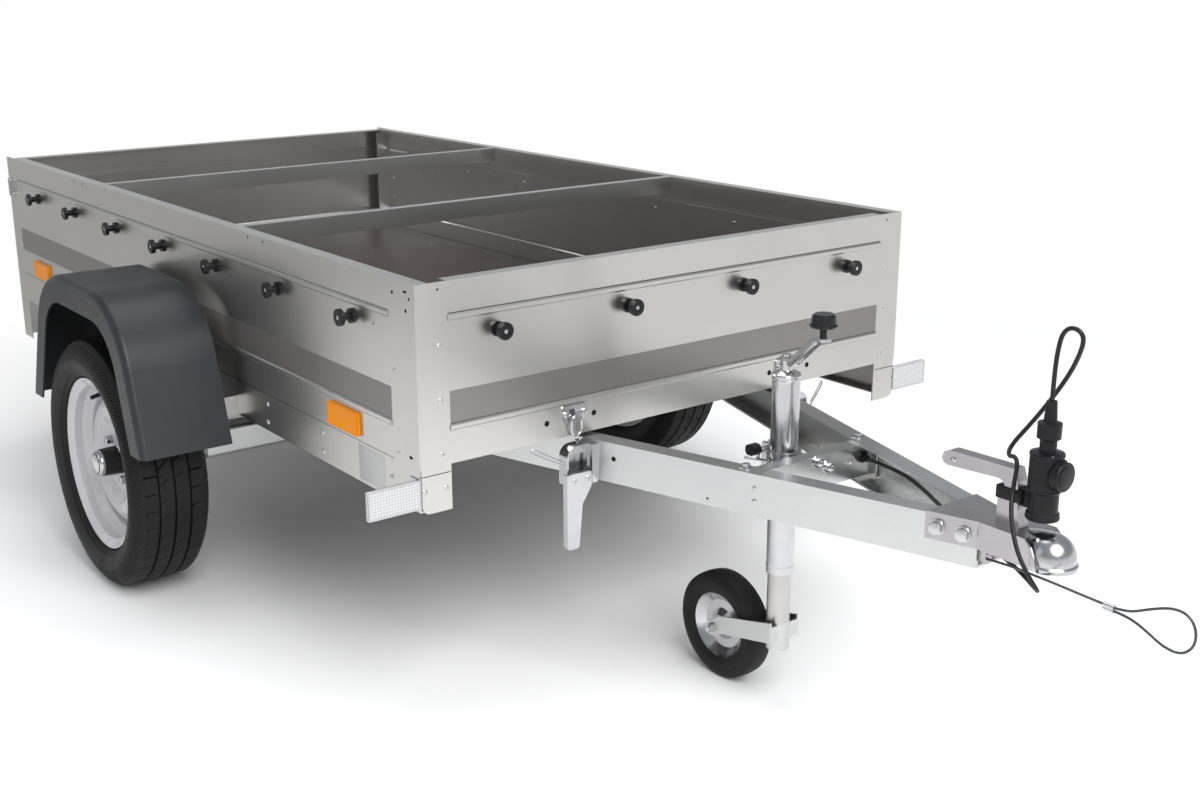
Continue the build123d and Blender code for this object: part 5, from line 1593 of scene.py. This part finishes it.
    def in_side_rib(self, spot: Vector, _: Vector) -> bool:
        """Tells whether a face is in one of the fine slanted lines round both side faces.

        Args:
            spot: The face's middle.
            _: Its normal; not used.

        Returns:
            Whether it is.
        """
        radius, along, _ = self.from_axle(spot)
        if not self.rib_low < radius < self.rib_high or abs(along) < self.rib_out:
            return False
        return self.column(spot) % self.rib_every == 0

    def tyres(self) -> None:
        """Builds both road tyres in place of their solids."""
        for side, piece in Bench.pair(self.tyre()):
            piece.name = f"road_tyre_{side}"
            self.book.fit(piece, FinishName.TYRE, f"wheel_{side}", "tyre_rubber", f"tyre_{side}")

    def bolts(self) -> Piece:
        """Makes the bolts of the right wheel.

        Returns:
            The bolts.
        """
        x, y, z = self.centre
        bolts = []
        for index in range(self.bolt_count):
            angle = math.radians(45 + 360 / self.bolt_count * index)
            spot = (x + self.bolt_circle * math.cos(angle), y - self.disc_face,
                    z + self.bolt_circle * math.sin(angle))
            bolts.append(Hardware.bolt(spot, RIGHT, *self.bolt_head))
        return Bench.join("wheel_bolts", bolts)

    def valve(self) -> Piece:
        """Makes the valve of the right wheel.

        Returns:
            The valve.
        """
        x, y, z = self.centre
        angle = math.radians(self.valve_angle)
        root = Vector((x + self.valve_circle * math.cos(angle), y - self.valve_root,
                       z + self.valve_circle * math.sin(angle)))
        tip = root + Vector((-0.006 * math.cos(angle), -0.026, -0.006 * math.sin(angle)))
        stem = Bench.bar("valve_stem", root, tip, 0.0058, 16, 0.001, 0.75)
        cap = Bench.bar("valve_cap", tip, tip + (tip - root) * 0.35, 0.0046, 12, 0.0008)
        return Bench.join("valve", [stem, cap])

    def wheel_trim(self) -> None:
        """Adds the bolts, bright cap and valve of both wheels."""
        x, y, z = self.centre
        bolts = self.bolts()
        cap = Bench.turned("bright_cap", self.cap_rows, (x, y - self.nose_end, z), RIGHT, 40)
        for name, finish, slot, piece in (("wheel_bolts", FinishName.PLATED, "zinc", bolts),
                                          ("hub_cap", FinishName.CHROME, "zinc", cap),
                                          ("valve", FinishName.BLACK, "black_plastic", self.valve())):
            for side, twin in Bench.pair(piece):
                twin.name = f"{name}_{side}"
                self.book.fit(twin, finish, f"wheel_{side}", slot)

    def build(self) -> None:
        """Builds tyres and wheel trim."""
        self.tyres()
        self.wheel_trim()


# ------------------------------------------------------------------------------------------ drawbar
@dataclass
class Drawbar:
    """Bolts, rivets and the painted shade of holes on the drawbar's arms and cross member."""

    hardware: Hardware
    web_holes: tuple[tuple[float, float, float], ...] = ((70.0, 340.0, 4.6), (250.0, 372.0, 2.2))
    web_rivets: tuple[tuple[float, float], ...] = ((334.0, 336.0), (334.0, 358.0))
    flange_bolt: tuple[float, float, float] = (302.0, 20.0, 312.0)
    cross_nuts: tuple[Point, ...] = ((325.0, 9.0, 324.0), (325.0, 35.0, 338.0))
    flange_head: tuple[float, float, float] = (0.013, 0.006, 0.011)
    nut_head: tuple[float, float, float, float] = (0.013, 0.008, 0.0115, 0.004)
    rivet_head: tuple[float, float] = (0.0045, 0.0022)

    def build(self) -> None:
        """Adds the drawbar's fasteners and the painted shade of its holes."""
        for ahead, drop, radius in self.web_holes:
            y, out = arm_face(ahead)
            self.hardware.holes("drawbar", [(ahead, y, drop, radius)], out)
        ahead, inward, drop = self.flange_bolt
        bolt = Hardware.bolt(place(ahead, arm_face(ahead)[0] + inward, drop), UP, *self.flange_head)
        self.hardware.both("drawbar", FinishName.PLATED, bolt)
        for spot in self.cross_nuts:
            nut = Hardware.bolt(place(*spot), AHEAD, *self.nut_head)
            self.hardware.keep("drawbar", FinishName.PLATED, nut)
        for ahead, drop in self.web_rivets:
            y, out = arm_face(ahead)
            self.hardware.rivets("drawbar", FinishName.SHEET, [(ahead, y, drop)], out,
                                 *self.rivet_head)


# ------------------------------------------------------------------------------------------ coupling
@dataclass
class CouplingHead:
    """Bolts of the coupling, its nose, the lever's rivets and the plug's trim."""

    book: FinishBook
    hardware: Hardware
    plate_bolts: tuple[tuple[float, float], ...] = ((631.0, 331.0), (670.0, 333.0))
    plate_thick: float = 3.3
    bolt_head: tuple[float, float, float] = (0.019, 0.0085, 0.0128)
    lever_rivets: tuple[Point, ...] = ((620.0, -11.0, 237.0),)
    rivet_head: tuple[float, float] = (0.0052, 0.0026)
    strap: tuple[Point, Point] = ((700.0, -13.2, 272.0), (744.0, 13.2, 252.0))
    nose_middle: Point = (793.0, 0.0, 339.0)
    nose_scale: Point = (0.075, 0.0357, 0.0357)
    nose_wall: float = 0.013
    nose_ends: tuple[float, float] = (745.0, 793.5)
    nose_sheet: float = 0.0016
    plug_ahead: float = 773.0
    plug_rings: tuple[tuple[float, float, float], ...] = (
        (189.5, 0.0248, 0.003), (241.0, 0.0247, 0.0026), (226.0, 0.0244, 0.0012), (283.0, 0.0243, 0.003))
    lid_drop: float = 216.0
    lid_rim: Rows = ((0.0, 0.0205), (0.0, 0.0222), (0.0030, 0.0226), (0.0060, 0.0222), (0.0060, 0.0205))
    lid_dish: Rows = ((0.0, 0.0), (0.0, 0.0165), (0.0008, 0.0165), (0.0012, 0.0155), (0.0012, 0.0))

    def bolts(self) -> None:
        """Adds hexagon bolts with washers through both side plates."""
        for ahead, drop in self.plate_bolts:
            y, out = arm_face(ahead)
            spot = place(ahead, y + self.plate_thick / out[1], drop)
            self.hardware.both("drawbar", FinishName.PLATED, Hardware.bolt(spot, out, *self.bolt_head))

    def lever_trim(self) -> None:
        """Adds the rivet near the end of the lever's grip and the strap of the plug's holder."""
        self.hardware.rivets("drawbar", FinishName.PLATED, self.lever_rivets, RIGHT, *self.rivet_head)
        low, high = self.strap
        strap = Bench.box("holder_strap", place(*low), place(*high), 0.0015)
        self.book.fit(strap, FinishName.GLOSS_BLACK, "drawbar", "black_plastic")

    def plug_trim(self) -> None:
        """Adds the plug's rings, its lid with the hinge and rim, and the lid's screw."""
        parts = []
        for drop, radius, height in self.plug_rings:
            rows = ((-height / 2, radius - 0.003), (-height / 2, radius - 0.0005), (-height / 3, radius),
                    (height / 3, radius), (height / 2, radius - 0.0005), (height / 2, radius - 0.003))
            parts.append(Bench.turned("plug_ring", rows, place(self.plug_ahead, 0.0, drop), UP, 56))
        parts.append(Bench.bar("lid_hinge", place(797.0, -9.0, 197.0), place(797.0, 9.0, 197.0), 0.0035, 16,
                               0.0006))
        for name, rows, ahead in (("lid_rim", self.lid_rim, 793.5), ("lid_dish", self.lid_dish, 806.0)):
            parts.append(Bench.turned(name, rows, place(ahead, 0.0, self.lid_drop), AHEAD, 56))
        self.book.fit(Bench.join("plug_trim", parts), FinishName.GLOSS_BLACK, "drawbar", "black_plastic")
        screw = Hardware.rivet(place(790.0, -12.0, 186.6), UP, 0.0022, 0.0010)
        self.hardware.keep("drawbar", FinishName.PLATED, screw)

    def nose_shell(self) -> None:
        """Draws the dome's shell back to the side plates."""
        Bench.clear()
        middle = place(*self.nose_middle)
        bpy.ops.mesh.primitive_uv_sphere_add(segments=96, ring_count=48, radius=1.0, location=middle,
                                             scale=self.nose_scale)
        shell = Bench.settle(bpy.context.object, "nose_shell")
        Bench.edit(shell, every=True)
        bpy.ops.mesh.bisect(plane_co=middle, plane_no=(0.0, 0.0, -1.0), clear_outer=True)
        bpy.ops.mesh.extrude_region_move(TRANSFORM_OT_translate={"value": (0.0, 0.0, -self.nose_wall)})
        rear, front = self.nose_ends
        for ahead, way in ((front, 1.0), (rear, -1.0)):
            bpy.ops.mesh.select_all(action="SELECT")
            bpy.ops.mesh.bisect(plane_co=place(ahead, 0.0, self.nose_middle[2]), plane_no=(way, 0.0, 0.0),
                                clear_outer=True)
        bpy.ops.mesh.select_all(action="SELECT")
        bpy.ops.mesh.normals_make_consistent(inside=False)
        Bench.clear()
        Bench.modify(shell, "SOLIDIFY", thickness=self.nose_sheet, offset=-1.0)
        Bench.smooth(shell)
        self.book.fit(shell, FinishName.PLATED, "drawbar", "zinc")

    def build(self) -> None:
        """Builds the coupling's trim."""
        self.nose_shell()
        self.bolts()
        self.lever_trim()
        self.plug_trim()


# ------------------------------------------------------------------------------------------ jockey wheel
@dataclass
class JockeyWheel:
    """Trim of the jockey wheel: crank flanges and rivet, tube rings, axle bolt and tyre rings."""

    book: FinishBook
    tube_x: float = FRONT_X + 0.256
    hub_x: float = FRONT_X + 0.122
    hub_z: float = 0.101
    crank_drop: float = 0.160
    crank_slope: Rows = ((0.010, 0.0005), (0.015, 0.0005), (0.067, 0.0485), (0.075, 0.0485), (0.075, 0.0425),
                         (0.070, 0.0405), (0.018, -0.0075), (0.010, -0.0055))
    flange_sides: tuple[float, float] = (-0.0110, 0.0092)
    flange_thick: float = 0.0018
    ring_drops: tuple[float, float] = (0.194, 0.530)
    ring_rows: Rows = ((-0.0025, 0.0236), (-0.0020, 0.0243), (0.0, 0.0247), (0.0020, 0.0243), (0.0025, 0.0236))
    nut_drops: tuple[float, float] = (0.1555, 0.1500)
    bolt_side: float = 0.0420
    side_rings: tuple[tuple[float, float, float], ...] = ((0.0243, 0.0860, 0.0012), (0.0238, 0.0720, 0.0010))

    def crank_trim(self) -> None:
        """Folds a flange under both edges of the crank and puts a rivet through its knob end."""
        x, z = self.tube_x, TOP_Z - self.crank_drop
        parts = [Bench.outline("crank_flange", [(x + along, y, z + up) for along, up in self.crank_slope],
                               (0.0, self.flange_thick, 0.0), 0.0004) for y in self.flange_sides]
        parts.append(Hardware.rivet((x + 0.080, 0.0, z + 0.0530), UP, 0.0075, 0.0012))
        self.book.fit(Bench.join("crank_flanges", parts), FinishName.PLATED, "drawbar", "zinc")

    def tube_trim(self) -> None:
        """Adds the rolled grooves of the outer tube and the nut on the cap."""
        parts = [Bench.turned("tube_ring", self.ring_rows, (self.tube_x, 0.0, TOP_Z - drop), UP, 56)
                 for drop in self.ring_drops]
        low, high = ((self.tube_x, 0.0, TOP_Z - drop) for drop in self.nut_drops)
        parts.append(Bench.bar("crank_nut", low, high, 0.0085, 6, 0.0007))
        self.book.fit(Bench.join("tube_trim", parts), FinishName.PLATED, "drawbar", "zinc")

    def axle_bolt(self) -> None:
        """Adds the hexagon ends of the wheel's axle bolt."""
        parts = [Hardware.bolt((self.hub_x, side * self.bolt_side, self.hub_z), (0.0, side, 0.0), 0.0125,
                               0.0050) for side in (-1.0, 1.0)]
        self.book.fit(Bench.join("axle_bolt_ends", parts), FinishName.PLATED, "jockey_fork", "zinc")

    def tyre_rings(self) -> None:
        """Adds the raised rings of the small tyre's side faces."""
        parts = []
        for side in (-1.0, 1.0):
            for along, radius, width in self.side_rings:
                rows = ((0.0, radius - width), (0.0009, radius), (0.0, radius + width), (-0.0015, radius))
                spot = (self.hub_x, side * along, self.hub_z)
                parts.append(Bench.turned("side_ring", rows, spot, (0.0, side, 0.0), 96))
        self.book.fit(Bench.join("jockey_tyre_rings", parts), FinishName.TYRE, "jockey_wheel", "tyre_rubber")

    def build(self) -> None:
        """Builds the jockey wheel's trim."""
        self.crank_trim()
        self.tube_trim()
        self.axle_bolt()
        self.tyre_rings()


# ------------------------------------------------------------------------------------------ latches
@dataclass
class Latches:
    """Release pins and rivets of the two toggle latches."""

    book: FinishBook
    pin_route: tuple[Point, ...] = (
        (31.0, -296.0, 350.0), (26.0, -306.0, 345.0), (14.0, -336.0, 330.0), (8.0, -350.0, 322.0),
        (5.0, -356.0, 316.0), (7.0, -350.0, 313.0), (14.0, -334.0, 324.0), (28.0, -300.0, 342.0))
    pin_radius: float = 0.0013
    rivets: tuple[tuple[Point, float, float], ...] = (
        ((39.0, -256.0, 376.0), 0.0050, 0.0024), ((39.0, -285.0, 376.0), 0.0040, 0.0020))

    def build(self) -> None:
        """Builds the release pin and rivets of both latches."""
        parts = [Bench.wire("release_pin", [place(*spot) for spot in self.pin_route], self.pin_radius)]
        parts += [Hardware.rivet(place(*spot), AHEAD, radius, height) for spot, radius, height in self.rivets]
        for side, piece in Bench.pair(Bench.join("latch_trim_right", parts)):
            piece.name = f"latch_trim_{side}"
            self.book.fit(piece, FinishName.PLATED, "drawbar", "zinc")


# ------------------------------------------------------------------------------------------ lamps
@dataclass
class Lamps:
    """Housings and lenses of the tail lamps, and rims of the reflectors."""

    book: FinishBook
    lamp_width: float = 0.197
    lens_sink: float = 0.010
    lens_lap: float = 0.004
    lens_inset: float = 0.003
    lenses: tuple[tuple[float, float, FinishName, str], ...] = (
        (0.003, 0.062, FinishName.AMBER, "amber"), (0.0635, 0.146, FinishName.RED, "red_lamp"),
        (0.1475, 0.194, FinishName.WHITE, "clear_reflector"))
    amber_places: tuple[float, float] = (250.0, 1890.0)
    amber_half: float = 53.0
    clear_width: float = 0.098
    rim_proud: float = 0.0009
    rim_root: float = 0.001
    rim_width: float = 0.0028

    def tail_lamps(self) -> None:
        """Builds both tail lamps: a dark housing with an amber, a red and a clear lens."""
        (face, right, foot), (seat, _, top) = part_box("tail_lamps")
        back = face + self.lens_sink
        housing = Bench.box("lamp_housing", (back, right, foot), (seat, right + self.lamp_width, top), 0.008, 3)
        parts = [("housing", housing, FinishName.GLOSS_BLACK, "black_plastic", "tail_lamps")]
        for start, end, finish, slot in self.lenses:
            lens = Bench.box("lamp_lens", (face, right + start, foot + self.lens_inset),
                             (back + self.lens_lap, right + end, top - self.lens_inset), 0.005, 3)
            parts.append((slot, lens, finish, slot, ""))
        for word, piece, finish, slot, node in parts:
            for side, twin in Bench.pair(piece):
                twin.name = f"tail_{word}_{side}"
                self.book.fit(twin, finish, "bed", slot, node)

    def reflector_rims(self) -> None:
        """Frames the amber and the clear reflectors with a raised rim of the same plastic."""
        ambers = []
        for behind in self.amber_places:
            low = place(-behind - self.amber_half, -576.0, 299.0)
            high = place(-behind + self.amber_half, WALL, 257.0)
            ambers.append(self.rim("amber_rim", low, high, False))
        low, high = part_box("front_reflectors")
        clear = self.rim("clear_rim", low, (high[0], low[1] + self.clear_width, high[2]), True)
        for name, rims, finish, slot in (("amber_rims", ambers, FinishName.AMBER, "amber"),
                                         ("clear_rims", [clear], FinishName.WHITE, "clear_reflector")):
            whole = Bench.join(name, rims + [Bench.mirrored(rim) for rim in rims])
            self.book.fit(whole, finish, "bed", slot)

    def rim(self, name: str, low: Point, high: Point, ahead: bool) -> Piece:
        """Makes a raised frame round the outer face of a flat block.

        Args:
            name: The piece's name.
            low: Lowest corner of the block.
            high: Highest corner of the block.
            ahead: Whether the face looks ahead, and not to the right.

        Returns:
            The frame.
        """
        proud, root = self.rim_proud, self.rim_root
        if ahead:
            out = Vector(AHEAD)
            piece = Bench.box(name, (high[0] - root, low[1], low[2]), (high[0] + proud, high[1], high[2]))
        else:
            out = Vector(RIGHT)
            piece = Bench.box(name, (low[0], low[1] - proud, low[2]), (high[0], low[1] + root, high[2]))
        Bench.select_faces(piece, lambda _, normal: normal.dot(out) > 0.9)
        bpy.ops.mesh.inset(thickness=self.rim_width, depth=0.0)
        bpy.ops.mesh.inset(thickness=0.0002, depth=-(proud + 0.0004))
        piece = Bench.settle(piece, name)
        Bench.bevel(piece, 0.0003)
        return piece

    def build(self) -> None:
        """Builds lamps and rims."""
        self.tail_lamps()
        self.reflector_rims()


def main() -> None:
    """Builds the whole dressed trailer."""
    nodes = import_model()["nodes"]
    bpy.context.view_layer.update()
    Bench.clear()
    Studio().build()
    book = FinishBook()
    Cords(book, nodes).build()
    dress_nodes(book, nodes)
    LOG.info("cords and packed nodes are dressed")
    hardware = Hardware(book)
    for part in (LoadBed(book, hardware), RunningGear(book), Drawbar(hardware), CouplingHead(book, hardware),
                 JockeyWheel(book), Latches(book), Lamps(book)):
        part.build()
        LOG.info("%s is built", type(part).__name__)
    hardware.finish()


if __name__ == "__main__":
    logging.basicConfig(level=logging.INFO)
    main()
